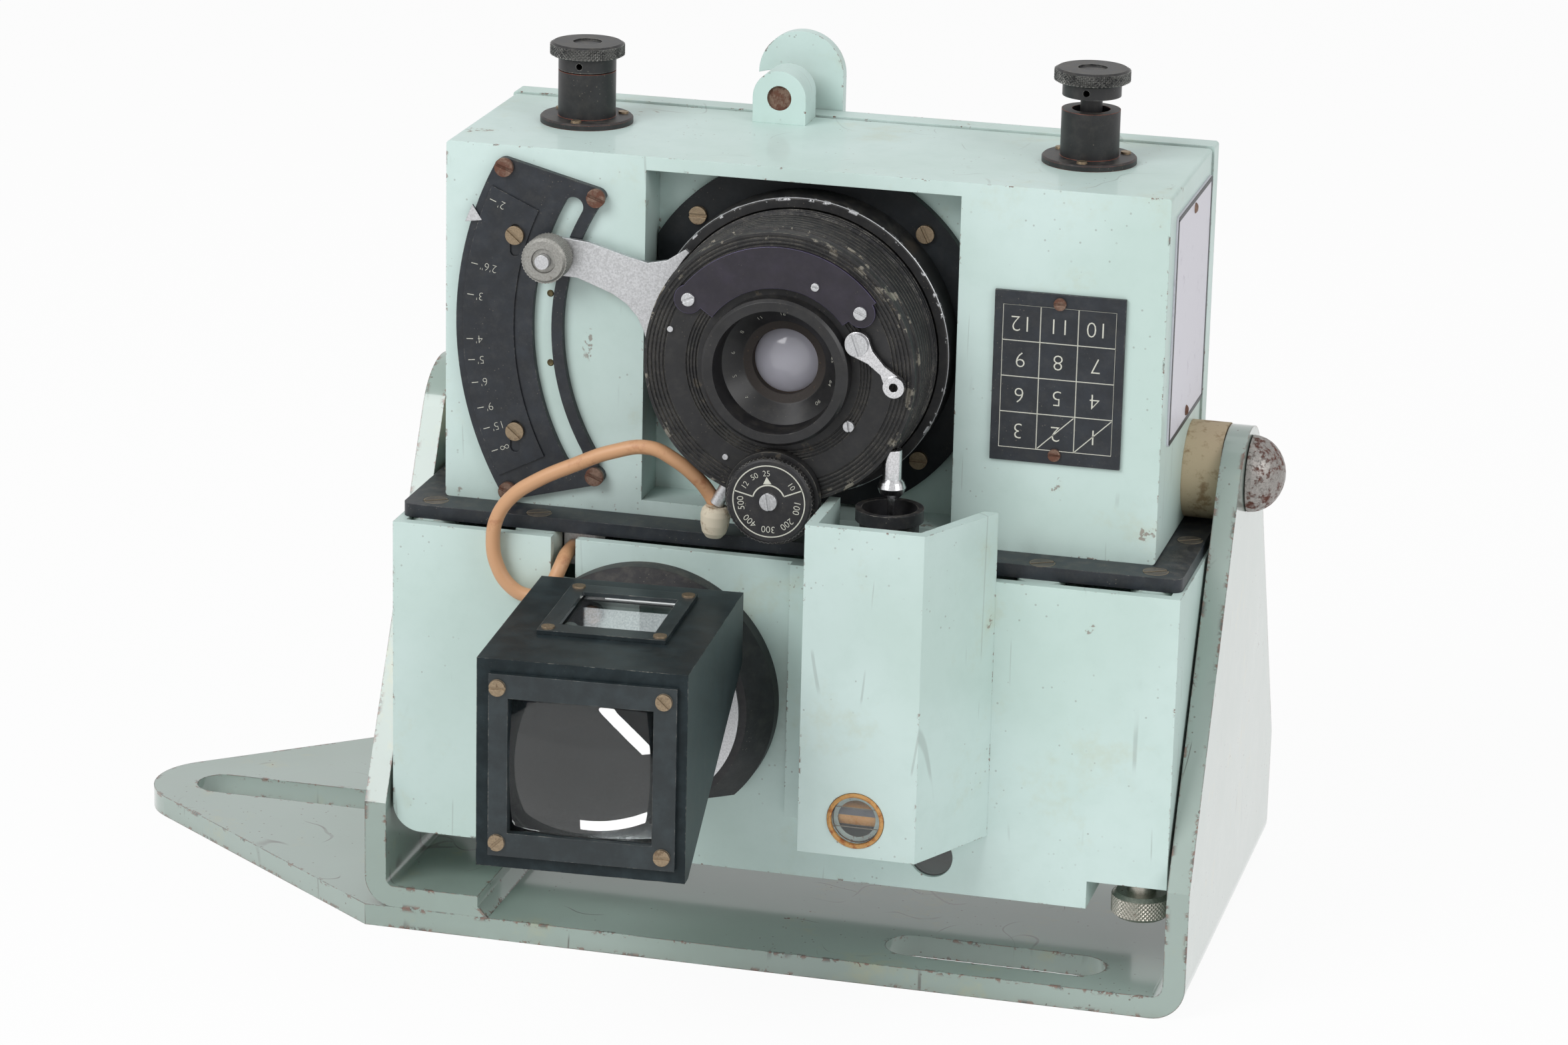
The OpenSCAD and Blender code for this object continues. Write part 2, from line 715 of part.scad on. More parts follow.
module distance_scale() {
    color([0.1, 0.1, 0.12]) difference() {
        plate_f(scale_front, scale_front + band_t) translate([0, lens_z])
            arc_band(scale_out - 16.6, scale_out - 2, band_ends[0], band_ends[1]);
        for (p = band_screw_places) plate_f(scale_front - 1, scale_front + band_t + 1)
            translate([p[0], lens_z + p[1] - 1.5]) rotate(90) slot_outline([0, 0], 9, 2.8);
    }
    color([0.85, 0.85, 0.85]) plate_f(scale_front, scale_front + 0.8)
        polygon([[-93.7, lens_z + 27.9], [-89, lens_z + 28.6], [-91.7, lens_z + 32.8]]);
}

number_mid = [71.5, deck_z + 49.4];
number_w = 35.5;
number_h = 47;

module plate_screws() {
    color([0.42, 0.26, 0.2]) {
        for (p = scale_screw_places) screw_f([p[0], lens_z + p[1]], scale_front, plate_screw_r, 1.2, 1.25,
            scale_t, 20);
        for (s = [-1, 1]) screw_f([number_mid[0], number_mid[1] + s * (number_h / 2 - 2.6)],
            film_front + 1, 1.7, 0.8, 1, 1);
    }
    color([0.6, 0.5, 0.35]) for (p = band_screw_places)
        screw_f([p[0], lens_z + p[1]], scale_front + band_t, plate_screw_r, 1, 1.25, scale_t + band_t, 40);
}

module number_plate() {
    color([0.09, 0.09, 0.1]) difference() {
        block([number_mid[0] - number_w / 2, -film_front - 1, number_mid[1] - number_h / 2],
            [number_mid[0] + number_w / 2, -film_front, number_mid[1] + number_h / 2]);
        for (s = [-1, 1]) rod_f(1 + fit, film_front - 1, film_front + 2,
            [number_mid[0], number_mid[1] + s * (number_h / 2 - 2.6)]);
    }
}

module side_plate() {
    color([0.62, 0.6, 0.68]) plate_x(film_half, film_half + 0.6)
        round_rect([-40, deck_z + 30.6], [film_back - 0.8, film_top - 6.9], 1.5);
}

module knob_bushes() {
    color([0.1, 0.1, 0.11]) for (s = [0, 1]) mirror([s, 0, 0]) {
        turned_z([[bush_bore, film_top], [flange_r, film_top], [flange_r, film_top + flange_t - 0.4],
            [flange_r - 0.4, film_top + flange_t], [bush_r, film_top + flange_t], [bush_r, bush_top],
            [bush_bore, bush_top]], [knob_x, -knob_fwd]);
        for (a = [30, 150, 270]) rod_z(1.4, film_top + flange_t, film_top + flange_t + 0.5,
            [knob_x + 10.4 * cos(a), -knob_fwd + 10.4 * sin(a)]);
    }
}

module latch_lug() {
    r = lug_w / 2;
    back = film_back;
    color([0.78, 0.86, 0.83]) difference() {
        plate_f(-back, -back + lug_d) intersection() {
            translate([latch_x - r, film_top]) square([lug_w, 2 * lug_w]);
            union() {
                translate([latch_x - r, film_top]) square([lug_w, latch_z - film_top]);
                translate([latch_x, latch_z]) circle(r);
            }
        }
        rod_f(3.4, -back - 1, -back + lug_d + 1, [latch_x, latch_z]);
    }
    color([0.45, 0.3, 0.2]) {
        rod_f(3.4, -back + 0.5, -back + lug_d - 0.8, [latch_x, latch_z]);
        rod_f(stud_r, -cover_out - seat - hook_t, -back, [latch_x, latch_z]);
        rod_f(3, -back - 0.5, -back + 1, [latch_x, latch_z]);
    }
}

module cover_hinges() {
    color([0.5, 0.5, 0.5]) for (x = [-hinge_x, hinge_x]) {
        difference() {
            union() {
                block([x - leaf_l / 2, film_back, lower_top - 10],
                    [x + leaf_l / 2, film_back + leaf_t, hinge_z]);
                block([x - knuckle_l / 2, film_back, hinge_z - 2.2],
                    [x + knuckle_l / 2, hinge_y, hinge_z + 2.2]);
                rod_x(hinge_r, x - knuckle_l / 2, x + knuckle_l / 2, [hinge_y, hinge_z]);
            }
            rod_x(hinge_pin_r, x - leaf_l, x + leaf_l, [hinge_y, hinge_z]);
            for (s = [-8, 8]) rod_f(1 + fit, -film_back - 3, -film_back + 1, [x + s, lower_top - 6]);
        }
        rod_x(hinge_pin_r, x - leaf_l / 2, x + leaf_l / 2, [hinge_y, hinge_z]);
    }
}

module back_cover() {
    low = deck_z + 0.5;
    grow = 0.5;
    color([0.77, 0.85, 0.82]) difference() {
        union() {
            plate_f(-cover_out, -cover_in) round_rect([-film_half - grow, low],
                [film_half + grow, film_top + grow], film_r);
            for (x = [-hinge_x, hinge_x], s = [-1, 1]) translate([x + s * (knuckle_l + leaf_l) / 4, 0, 0]) {
                side = (leaf_l - knuckle_l) / 4 - 0.2;
                rod_x(hinge_r, -side, side, [hinge_y, hinge_z]);
                block([-side, hinge_y - 1.6, hinge_z], [side, hinge_y + 1.6, low + 1]);
            }
            rod_f(spindle_r, -cover_out - seat - hook_t - 0.2, -cover_out + 1, latch_pivot);
            rod_f(5, -cover_out - seat - hook_t - 1.8, -cover_out - seat - hook_t - 0.2, latch_pivot);
        }
        block([-film_half + 8, cover_in - 1, low + 6], [film_half - 8, cover_in + 3.5, film_top - 6]);
        for (x = [-hinge_x, hinge_x]) rod_x(hinge_pin_r + fit, x - leaf_l, x + leaf_l, [hinge_y, hinge_z]);
    }
}

module cover_gasket() {
    color([0.12, 0.12, 0.12]) difference() {
        plate_f(-cover_in, -film_back - skin)
            round_rect([-film_half + 0.3, deck_z + 0.9], [film_half - 0.3, film_top - 0.3], film_r);
        plate_f(-cover_in - 1, -film_back + 1)
            round_rect([-film_half + 6, deck_z + 6.5], [film_half - 6, film_top - 6], film_r);
    }
}

module pressure_plate() {
    color([0.2, 0.2, 0.22]) plate_f(-film_back - 1.3, -film_back + 0.7)
        round_rect([-tunnel, lens_z - gate_h + 4], [tunnel, lens_z + gate_h - 4], 4);
}

module pressure_springs() {
    front = film_back + 1.3;
    back = cover_in + 3.5;
    rise = back - front;
    color([0.6, 0.6, 0.6]) for (z = [-20, 20]) translate([0, 0, lens_z + z - 4]) linear_extrude(height = 8)
        polygon([[-30, back - 0.4], [-26, back - 0.4], [-6, front], [6, front], [26, back - 0.4],
            [30, back - 0.4],
            [30, back], [25.8, back], [5.8, front + 0.4], [-5.8, front + 0.4], [-25.8, back], [-30, back]]);
}

module latch_hook() {
    swing = norm([latch_x, latch_z] - latch_pivot);
    lean = atan2(latch_z - latch_pivot[1], latch_x - latch_pivot[0]);
    gap = stud_r + 0.5;
    color([0.72, 0.8, 0.77]) plate_f(-cover_out - seat - hook_t, -cover_out - seat) difference() {
        union() {
            translate(hook_disc) circle(hook_r);
            translate([hook_disc[0] + hook_r - 16, latch_pivot[1]])
                square([16, hook_disc[1] - latch_pivot[1]]);
            translate([hook_disc[0] + hook_r - 8, latch_pivot[1]]) circle(8);
        }
        translate(latch_pivot) {
            circle(spindle_r + fit);
            arc_band(swing - gap, swing + gap, lean, lean + 25);
        }
        translate([latch_x, latch_z]) circle(gap);
    }
}

// Sleeve, knob and spool of one winding side; raise lifts the knob off its spool
module winder_sleeve(x, raise) {
    color([0.6, 0.55, 0.4]) difference() {
        rod_z(bush_bore - skin, film_top + 1 + raise, film_top + 8 + raise, [x, -knob_fwd]);
        rod_z(spindle_r + fit, film_top - 2, bush_top + 5, [x, -knob_fwd]);
    }
}

module winder_knob(x, raise) {
    z0 = bush_top + seat + raise;
    z1 = z0 + collar_h;
    z2 = z1 + rim_h;
    end = spool_top - key_depth + raise;
    color([0.12, 0.12, 0.13]) difference() {
        union() {
            turned_z([[0, z0], [bush_r, z0], [bush_r, z1], [knob_r - 0.5, z1], [knob_r, z1 + 0.5],
                [knob_r, z2 - 0.6],
                [knob_r - 0.6, z2], [4, z2], [4, z2 - 0.5], [0, z2 - 0.5]], [x, -knob_fwd]);
            rod_z(spindle_r, spool_top + 1 + raise, z0 + 1, [x, -knob_fwd]);
            translate([x - key_w / 2, -knob_fwd - key_t / 2, end]) cube([key_w, key_t, key_depth + 2]);
        }
        translate([x, -knob_fwd, z0 + collar_h / 2]) rotate([90, 0, 0]) cylinder(r = 0.9, h = bush_r + 1);
    }
}

module winder_spool(x) {
    pin = spindle_r + skin;
    top_bore = key_w / 2 - 0.5;
    r = 6;
    t = 1.6;
    color([0.15, 0.13, 0.12]) difference() {
        turned_z([[pin, spool_bot], [spool_r, spool_bot], [spool_r, spool_bot + t], [r, spool_bot + t],
            [r, spool_top - t], [spool_r, spool_top - t], [spool_r, spool_top], [top_bore, spool_top],
            [top_bore, spool_top - 5], [0, spool_top - 5], [0, spool_bot + 8], [pin, spool_bot + 8]],
                [x, -knob_fwd]);
        translate([x - key_w / 2 - 0.4, -knob_fwd - key_t / 2 - 0.3, spool_top - 5])
            cube([key_w + 0.8, key_t + 0.6, 6]);
    }
}

module base_knob() {
    z1 = lower_bot + step_h;
    color([0.62, 0.6, 0.55]) {
        turned_z([[0, lower_bot - 6.2], [base_knob_r - 1, lower_bot - 6.2], [base_knob_r, lower_bot - 5.2],
            [base_knob_r, lower_bot - 0.2], [base_knob_r - 1, lower_bot + 0.8], [4, lower_bot + 0.8],
            [4, z1 - seat], [2, z1 - seat], [2, z1 + 9], [0, z1 + 9]], base_knob_at);
    }
}

module focus_ring() {
    inner = mount_r + thread_t + fit;
    lip = case_r + 0.8;
    color([0.1, 0.1, 0.12]) turned_f([[inner, flange_front + seat], [focus_r, flange_front + seat],
        [focus_r, ring_front - 0.6], [focus_r - 0.5, ring_front], [lip, ring_front],
            [lip, tube_front + 0.3],
        [inner, tube_front + 0.3]], [0, lens_z]);
}

// The arm's edges: distance outside the focus ring, and degrees from the arm's middle line
arm_top = [[21.9, -6.6], [16.5, -7.4], [9.9, -8.5], [4.8, -10], [0.8, -14.6], [-0.6, -19.4], [-1.4, -22.7],
    [-4, -22.7]];
arm_low = [[-4, 18.7], [-0.1, 18.7], [0.7, 14.5], [3, 9.5], [6.7, 6], [10.8, 4.3], [15.8, 3.6], [21.5, 3]];

module focus_arm() {
    a = arm_angle;
    eye = slot_arc_r;
    seat_in = case_r + 0.9;
    end_r = 5.4;
    color([0.72, 0.72, 0.73]) {
        plate_f(arm_back, arm_front) translate([0, lens_z]) difference() {
            union() {
                polygon(concat([eye * [cos(a), sin(a)] + [0, end_r]],
                    [for (p = concat(arm_top, arm_low)) (focus_r + p[0]) * [cos(a + p[1]), sin(a + p[1])]],
                    [eye * [cos(a), sin(a)] - [0, end_r]]));
                translate(eye * [cos(a), sin(a)]) circle(end_r);
            }
            circle(seat_in);
        }
        plate_f(ring_front, arm_back + 0.01) translate([0, lens_z])
            arc_band(seat_in + 0.3, focus_r - 0.6, a - 18, a + 17);
        rod_f(stud_small_r, film_front + 0.4, arm_front + clamp_h + 1.8, clamp_at);
    }
}

module clamp_knob() {
    f0 = arm_front + 0.2;
    color([0.66, 0.66, 0.66]) turned_f([[stud_small_r + fit, f0], [clamp_r - 0.6, f0], [clamp_r, f0 + 0.6],
        [clamp_r, f0 + clamp_h - 0.7], [clamp_r - 0.7, f0 + clamp_h], [3.4, f0 + clamp_h],
        [3.2, f0 + clamp_h - 0.6], [stud_small_r + fit, f0 + clamp_h - 0.6]], clamp_at);
}

// Rings cut into the shutter's front: [radius, depth] steps between two radii
function groove_steps(r1, r0, n, f, d) = [for (i = [0:2 * n - 1])
    let (k = floor(i / 2), s = (r1 - r0) / n, low = i % 2) each
    [[r1 - s * (k + low * 0.5), f - (low == 0 ? 0 : d)],
        [r1 - s * (k + low * 0.5 + 0.5), f - (low == 0 ? 0 : d)]]];

// Ribs round the shutter's side, from front to back
function rib_steps(r, f1, f0, n, d) = [for (i = [0:n - 1])
    let (s = (f1 - f0) / n) each
    [[r, f0 + s * (i + 0.1)], [r, f0 + s * (i + 0.6)], [r - d, f0 + s * (i + 0.65)],
        [r - d, f0 + s * (i + 1)]]];

module shutter_case() {
    face_r = case_r - 0.8;
    color([0.08, 0.08, 0.1]) difference() {
        union() {
            turned_f(concat([[0, case_mid], [case_r, case_mid]],
                rib_steps(case_r, case_front - 3, case_mid, 6, 0.5),
                [[face_r, case_front - 2.4], [face_r, case_front]],
                groove_steps(face_r - 0.3, 31.5, 5, case_front, 0.4), [[31.5, case_front]],
                groove_steps(26, 22.5, 4, case_front, 0.4), [[22.5, case_front], [0, case_front]]),
                    [0, lens_z]);
            rod_f(dial_body_r, case_front - 8, case_front + 1, dial_at);
            rod_f(dial_r + 1.3, case_front + 0.5, dial_base_front, dial_at);
        }
        rod_f(mount_r, case_back, case_front - face_wall, [0, lens_z]);
        rod_f(cell_r - 3, case_back, case_front + 1, [0, lens_z]);
        for (p = case_screw_places) rod_f(fine_shank_r + fit, case_front - 2.5, case_front + 1,
            [p[0], lens_z + p[1]]);
        rod_f(1.5 + fit, case_front - 4, dial_base_front + 1, dial_at);
        rod_f(1.5 + fit, case_front - 4, case_front + 1, pivot_at);
        rod_z(socket_r + fit, ball_z, ball_z + 10.6, [socket_x, -post_y]);
    }
}

module blade_cover() {
    color([0.16, 0.12, 0.22]) plate_f(case_front, case_front + blade_t) translate([0, lens_z])
        difference() {
        union() {
            arc_band(cell_r + 2, 33.5, 38, 145);
            for (p = [cover_screw_places[0], cover_screw_places[1]]) translate(p) circle(4);
        }
        circle(cell_r + 1.5);
        for (p = cover_screw_places) translate(p) circle(fine_shank_r + fit);
    }
}

module shutter_screws() {
    up = lens_z;
    color([0.78, 0.78, 0.78]) {
        for (p = cover_screw_places)
            screw_f([p[0], up + p[1]], case_front + blade_t, p[0] == 9.9 ? 1.1 : 1.8, 0.8, fine_shank_r,
                3, p[0]);
        screw_f([19.8, up - 14], case_front, 1.5, 1.2, fine_shank_r, 2, 80);
        screw_f(pivot_at, case_front + 3, 3.1, 1, 1.5, 6, 70);
        screw_f(dial_at, dial_front - 0.2, 2.4, 1, 1.5, 8, 80);
        for (p = [[-29.9, 8.3], [-14, -25.8]]) rod_f(0.8, case_front, case_front + 0.6, [p[0], up + p[1]]);
    }
}

module lens_barrel() {
    back = pocket_f - 8;
    color([0.07, 0.07, 0.08]) turned_f([[24, back], [mount_r - 1, back], [mount_r - fit, back + 1],
        [mount_r - fit, case_front - 6], [24, case_front - 6], [24, case_front - 8],
            [mount_r - 3, case_front - 8],
        [mount_r - 3, back + 6], [24, back + 6]], [0, lens_z]);
}

module front_cell() {
    f = case_front;
    back = f - cell_depth;
    color([0.06, 0.06, 0.07]) turned_f([[glass_r + 0.1, back - 3.4], [cell_r - 3.1, back - 3.4],
        [cell_r - 3.1, f + 0.01],
        [cell_r, f + 0.01], [cell_r, f + 4.2], [cell_r - 0.8, f + 5], [16.9, f + 5], [16.3, f - 2.4],
        [11.3, back + 1], [glass_r + 0.1, back + 0.2]], [0, lens_z]);
}

module lens_glasses() {
    color([0.8, 0.8, 0.9]) {
        intersection() {
            translate([0, cell_depth + 13.5 - case_front, lens_z]) sphere(14.5);
            rod_f(glass_r, case_front - cell_depth - 3, case_front - cell_depth + 2, [0, lens_z]);
        }
        rod_f(23.9, pocket_f - 6.5, pocket_f - 3, [0, lens_z]);
    }
}

module release_socket() {
    color([0.85, 0.85, 0.86]) difference() {
        union() {
            rod_z(socket_r, ball_z - 1, ball_z + 10.5, [socket_x, -post_y]);
            turned_z([[0, ball_z - 2.6], [2.4, ball_z - 2.6], [ball_r - 0.6, ball_z - 1.6],
                [ball_r, ball_z],
                [ball_r - 0.6, ball_z + 1.6], [2.7, ball_z + 2.4], [0, ball_z + 2.4]], [socket_x, -post_y]);
        }
        rod_z(trip_r + fit, ball_z - 5, ball_z + 12, [socket_x, -post_y]);
    }
}

// The sync post leans up and to the right, and its boot hangs almost straight down
module sync_frame(lean) {
    translate(sync_at) rotate([0, lean, 0]) children();
}

module sync_post() {
    color([0.6, 0.55, 0.48]) sync_frame(post_lean) cylinder(r = 1.9, h = post_l);
}

module sync_boot() {
    l = boot_l;
    color([0.86, 0.82, 0.7]) sync_frame(boot_lean) rotate_extrude()
        polygon([[0, -l], [2.2, -l + 0.3], [3.3, -l + 1.7], [3.9, -l + 4], [4.1, -l + 6.6], [3.8, -1.6],
            [3, -0.7], [0, -0.7]]);
}

module iris_ring() {
    inner = mount_r + fit;
    color([0.09, 0.09, 0.1]) turned_f(concat([[inner, case_back]],
        rib_steps(case_r + 0.4, case_back + iris_len, case_back, 3, 0.5),
        [[inner, case_back + iris_len]]), [0, lens_z]);
}

module speed_dial() {
    color([0.06, 0.06, 0.07]) difference() {
        turned_f([[1.6, dial_base_front + seat], [dial_r - 0.4, dial_base_front + seat],
            [dial_r, dial_base_front + 0.8],
            [dial_r, dial_front - 0.6], [dial_r - 0.5, dial_front - 0.2], [1.6, dial_front - 0.2]],
                dial_at);
        rod_f(1.5 + fit, dial_base_front - 1, dial_front + 1, dial_at);
    }
}

module release_lever() {
    back = case_front + 1.4;
    color([0.85, 0.85, 0.86]) difference() {
        union() {
            plate_f(back, back + 1.5) {
                translate(pivot_at) circle(lever_head_r);
                polygon([pivot_at + [-1.6, -3.1], pivot_at + [3, -5], pivot_at + [6.6, -7.8],
                    eye_at + [-2.2, -1.6], eye_at + [1.4, 2.4], pivot_at + [7.4, -5.2],
                    pivot_at + [4.3, -1.6], pivot_at + [2.8, 2]]);
            }
            rod_f(2.9, back, back + 2.6, eye_at);
        }
        rod_f(1.5 + fit, back - 1, back + 4, pivot_at);
        rod_f(1.2, back - 1, back + 4, eye_at);
    }
}

module trip_rod() {
    color([0.5, 0.5, 0.5]) rod_z(trip_r, head_top + seat, ball_z + 8, [socket_x, -post_y]);
}

module plunger() {
    color([0.55, 0.55, 0.56]) turned_z([[0, coil_bot + 12], [plunger_r, coil_bot + 12],
        [plunger_r, head_top - 2],
        [6.8, head_top - 2], [6.8, head_top], [0, head_top]], [socket_x, -guide_y]);
}

module solenoid_coil() {
    color([0.55, 0.25, 0.12]) turned_z([[plunger_r + skin, coil_bot + 3], [coil_r - 1, coil_bot + 3],
        [coil_r - 1, coil_top - 3], [plunger_r + skin, coil_top - 3]], [socket_x, -guide_y]);
}

module solenoid_yoke() {
    side = coil_r + 0.3;
    color([0.4, 0.4, 0.42]) difference() {
        block([socket_x - side - 1.8, -guide_y - 7, coil_bot],
            [socket_x + side + 1.8, -guide_y + 7, coil_top]);
        block([socket_x - side, -guide_y - 8, coil_bot + 3], [socket_x + side, -guide_y + 8, coil_top - 3]);
        rod_z(plunger_r + skin, coil_bot + 3, coil_top + 1, [socket_x, -guide_y]);
    }
    color([0.15, 0.15, 0.15]) block([cable_end[0] - 2.9, cable_end[1], cable_end[2] - 5.4],
        [cable_end[0] + 9, cable_end[1] + 8, lower_top]);
}

module socket_ring() {
    color([0.07, 0.07, 0.08]) turned_z([[7.5, coil_top], [guide_r - 1.2, coil_top],
        [guide_r - 1.2, guide_top - 4],
        [guide_r, guide_top - 3.4], [guide_r, guide_top], [7.5, guide_top]], [socket_x, -guide_y]);
}

// A tube of eight sides swept along the cable's points
function cable_dir(i) =
    let (n = len(cable_route), a = cable_route[max(i - 1, 0)], b = cable_route[min(i + 1, n - 1)])
    (b - a) / norm(b - a);

function cable_ring(i) =
    let (d = cable_dir(i), side = cross([0, 1, 0.2], d), u = side / norm(side), v = cross(d, u))
    [for (k = [0:cable_sides - 1])
        let (t = 360 * k / cable_sides) cable_route[i] + cable_r * (cos(t) * u + sin(t) * v)];

module shutter_cable() {
    n = len(cable_route);
    m = cable_sides;
    points = [for (i = [0:n - 1]) each cable_ring(i)];
    sides = [for (i = [0:n - 2], k = [0:m - 1]) [i * m + k, i * m + (k + 1) % m,
        (i + 1) * m + (k + 1) % m, (i + 1) * m + k]];
    ends = [[for (k = [m - 1:-1:0]) k], [for (k = [0:m - 1]) (n - 1) * m + k]];
    color([0.8, 0.58, 0.4]) polyhedron(points = points, faces = concat(sides, ends), convexity = 6);
}

module finder_base() {
    color([0.07, 0.07, 0.08]) difference() {
        union() {
            intersection() {
                turned_f([[0, lower_front], [base_r, lower_front], [base_r, lower_front + 5],
                    [base_r - 6, base_front],
                    [0, base_front]], [base_x, base_z]);
                block([base_x - 2 * base_r, -base_front - 1, base_z - base_cut],
                    [base_x + 2 * base_r, 0, base_z + base_r + 1]);
            }
            rod_f(spigot_r + 3.9, lower_front - wall, lower_front + 0.01, [base_x, base_z]);
        }
        rod_f(spigot_r + fit, lower_front - wall - 1, base_front + 1, [base_x, base_z]);
    }
    color([0.75, 0.75, 0.76]) plate_f(base_front, base_front + teeth_t) difference() {
        translate([base_x, base_z]) arc_band(spigot_r + 2, base_r - 8, -75, 30);
        translate([base_x + 24, base_z - 4]) circle(0.8);
    }
}

// Everything in the finder is drawn straight, then turned in towards the lens
module finder_frame_of_reference() {
    translate([finder_mid[0], -finder_back, 0]) rotate([0, 0, finder_yaw]) children();
}

module finder_side_outline(inset) {
    polygon([[-finder_l + inset, finder_low + inset], [-finder_l + inset, finder_high - inset],
        [-inset, finder_high - inset], [-inset, finder_high - heel_h + inset * 0.6],
            [-finder_l + 4 + inset, finder_low + inset]]);
}

module finder_body() {
    half = finder_w / 2;
    color([0.09, 0.1, 0.11]) {
        finder_frame_of_reference() difference() {
            plate_x(-half, half) finder_side_outline(0);
            plate_x(-half + finder_wall, half - finder_wall) finder_side_outline(finder_wall);
            block([-window_w / 2, -finder_l - 1, finder_mid[1] - window_h / 2 - 0.5],
                [window_w / 2, -finder_l + finder_wall + 1, finder_mid[1] + window_h / 2 + 0.5]);
            block([-eye_w / 2, -eye_mid - eye_l / 2, finder_high - finder_wall - 1],
                [eye_w / 2, -eye_mid + eye_l / 2, finder_high + 1]);
        }
        difference() {
            rod_f(spigot_r, lower_front - wall, finder_back + 1.2, [base_x, base_z]);
            rod_f(spigot_r - 3, lower_front - wall - 1, finder_back - 3, [base_x, base_z]);
        }
        finder_frame_of_reference() block([-14, -1.5, base_z - 10], [12, 0, finder_high - heel_h + 2]);
        finder_frame_of_reference() plate_x(-12, 10)
            polygon([[0, base_z - 10], [0, finder_high - heel_h + 1], [-finder_l * 0.35, base_z - 9]]);
    }
}

module finder_frames() {
    color([0.06, 0.06, 0.07]) finder_frame_of_reference() {
        difference() {
            block([-finder_w / 2 + 3.5, -finder_l - frame_t, finder_mid[1] - 25],
                [finder_w / 2 - 2.5, -finder_l, finder_mid[1] + 25]);
            block([-window_w / 2, -finder_l - 3, finder_mid[1] - window_h / 2],
                [window_w / 2, -finder_l + 1, finder_mid[1] + window_h / 2]);
            for (x = [-22, 22], z = [-21.3, 21.3])
                rod_f(fine_shank_r + fit, finder_l - 1, finder_l + 3, [x, finder_mid[1] + z]);
        }
        difference() {
            block([-17.5, -eye_mid - 20, finder_high], [17, -eye_mid + 20, finder_high + 1.2]);
            block([-eye_w / 2 + 0.5, -eye_mid - eye_l / 2 + 0.5, finder_high - 1],
                [eye_w / 2 - 0.5, -eye_mid + eye_l / 2 - 0.5, finder_high + 3]);
        }
    }
    color([0.6, 0.55, 0.45]) finder_frame_of_reference() {
        for (x = [-22, 22], z = [-21.3, 21.3])
            screw_f([x, finder_mid[1] + z], finder_l + frame_t, 2.2, 0.8, fine_shank_r, frame_t - skin,
                x + z);
        for (x = [-15, 15], y = [-17.5, 17.5])
            rod_z(1.8, finder_high + 1.2, finder_high + 1.7, [x, -eye_mid + y]);
    }
}

module finder_glasses() {
    color([0.8, 0.85, 0.85]) finder_frame_of_reference() {
        intersection() {
            translate([0, -finder_l + 42, finder_mid[1]]) sphere(46);
            block([-window_w / 2 + skin, -finder_l - 6, finder_mid[1] - window_h / 2 + skin],
                [window_w / 2 - skin, -finder_l + 4, finder_mid[1] + window_h / 2 - skin]);
        }
        block([-eye_w / 2 + skin, -eye_mid - eye_l / 2 + skin, finder_high - finder_wall],
            [eye_w / 2 - skin, -eye_mid + eye_l / 2 - skin, finder_high]);
    }
}

module finder_mirror() {
    half = finder_w / 2 - finder_wall - skin;
    reach = finder_h - 2 * finder_wall - 7;
    y0 = -finder_l + finder_wall + 6;
    z0 = finder_low + finder_wall + 5.2;
    color([0.85, 0.87, 0.88]) finder_frame_of_reference() plate_x(-half, half)
        polygon([[y0, z0], [y0 + 2, z0 - 0.6], [y0 + reach + 1, z0 + reach - 1.6],
            [y0 + reach - 0.6, z0 + reach]]);
}

mount_bracket();
left_arm();
trunnion_bolts();
friction_washers();
deck_plate();
housing_screws();
lower_housing();
level_tower();
level_seal();
window_glasses();
level_vial();
film_housing();
film_gate();
lens_flange();
scale_plate();
distance_scale();
plate_screws();
number_plate();
side_plate();
knob_bushes();
latch_lug();
cover_hinges();
finder_base();
solenoid_coil();
solenoid_yoke();
socket_ring();
shutter_cable();
back_cover();
cover_gasket();
pressure_plate();
pressure_springs();
latch_hook();
winder_sleeve(-knob_x, 0);  // left_sleeve
winder_knob(-knob_x, 0);  // left_knob
winder_spool(-knob_x);  // left_spool
winder_sleeve(knob_x, knob_raised);  // right_sleeve
winder_knob(knob_x, knob_raised);  // right_knob
winder_spool(knob_x);  // right_spool
base_knob();
focus_ring();
focus_arm();
clamp_knob();
shutter_case();
blade_cover();
shutter_screws();
lens_barrel();
front_cell();
lens_glasses();
release_socket();
sync_post();
sync_boot();
iris_ring();
speed_dial();
release_lever();
trip_rod();
plunger();
finder_body();
finder_frames();
finder_glasses();
finder_mirror();
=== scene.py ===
"""Dresses a dial recording camera: paints its castings and adds its scales, knurls, glass and marks."""

import json
import logging
import math
from dataclasses import dataclass
from enum import Enum
from functools import cached_property, reduce
from typing import Callable, Optional, Sequence, Union

import bpy
from mathutils import Matrix, Vector

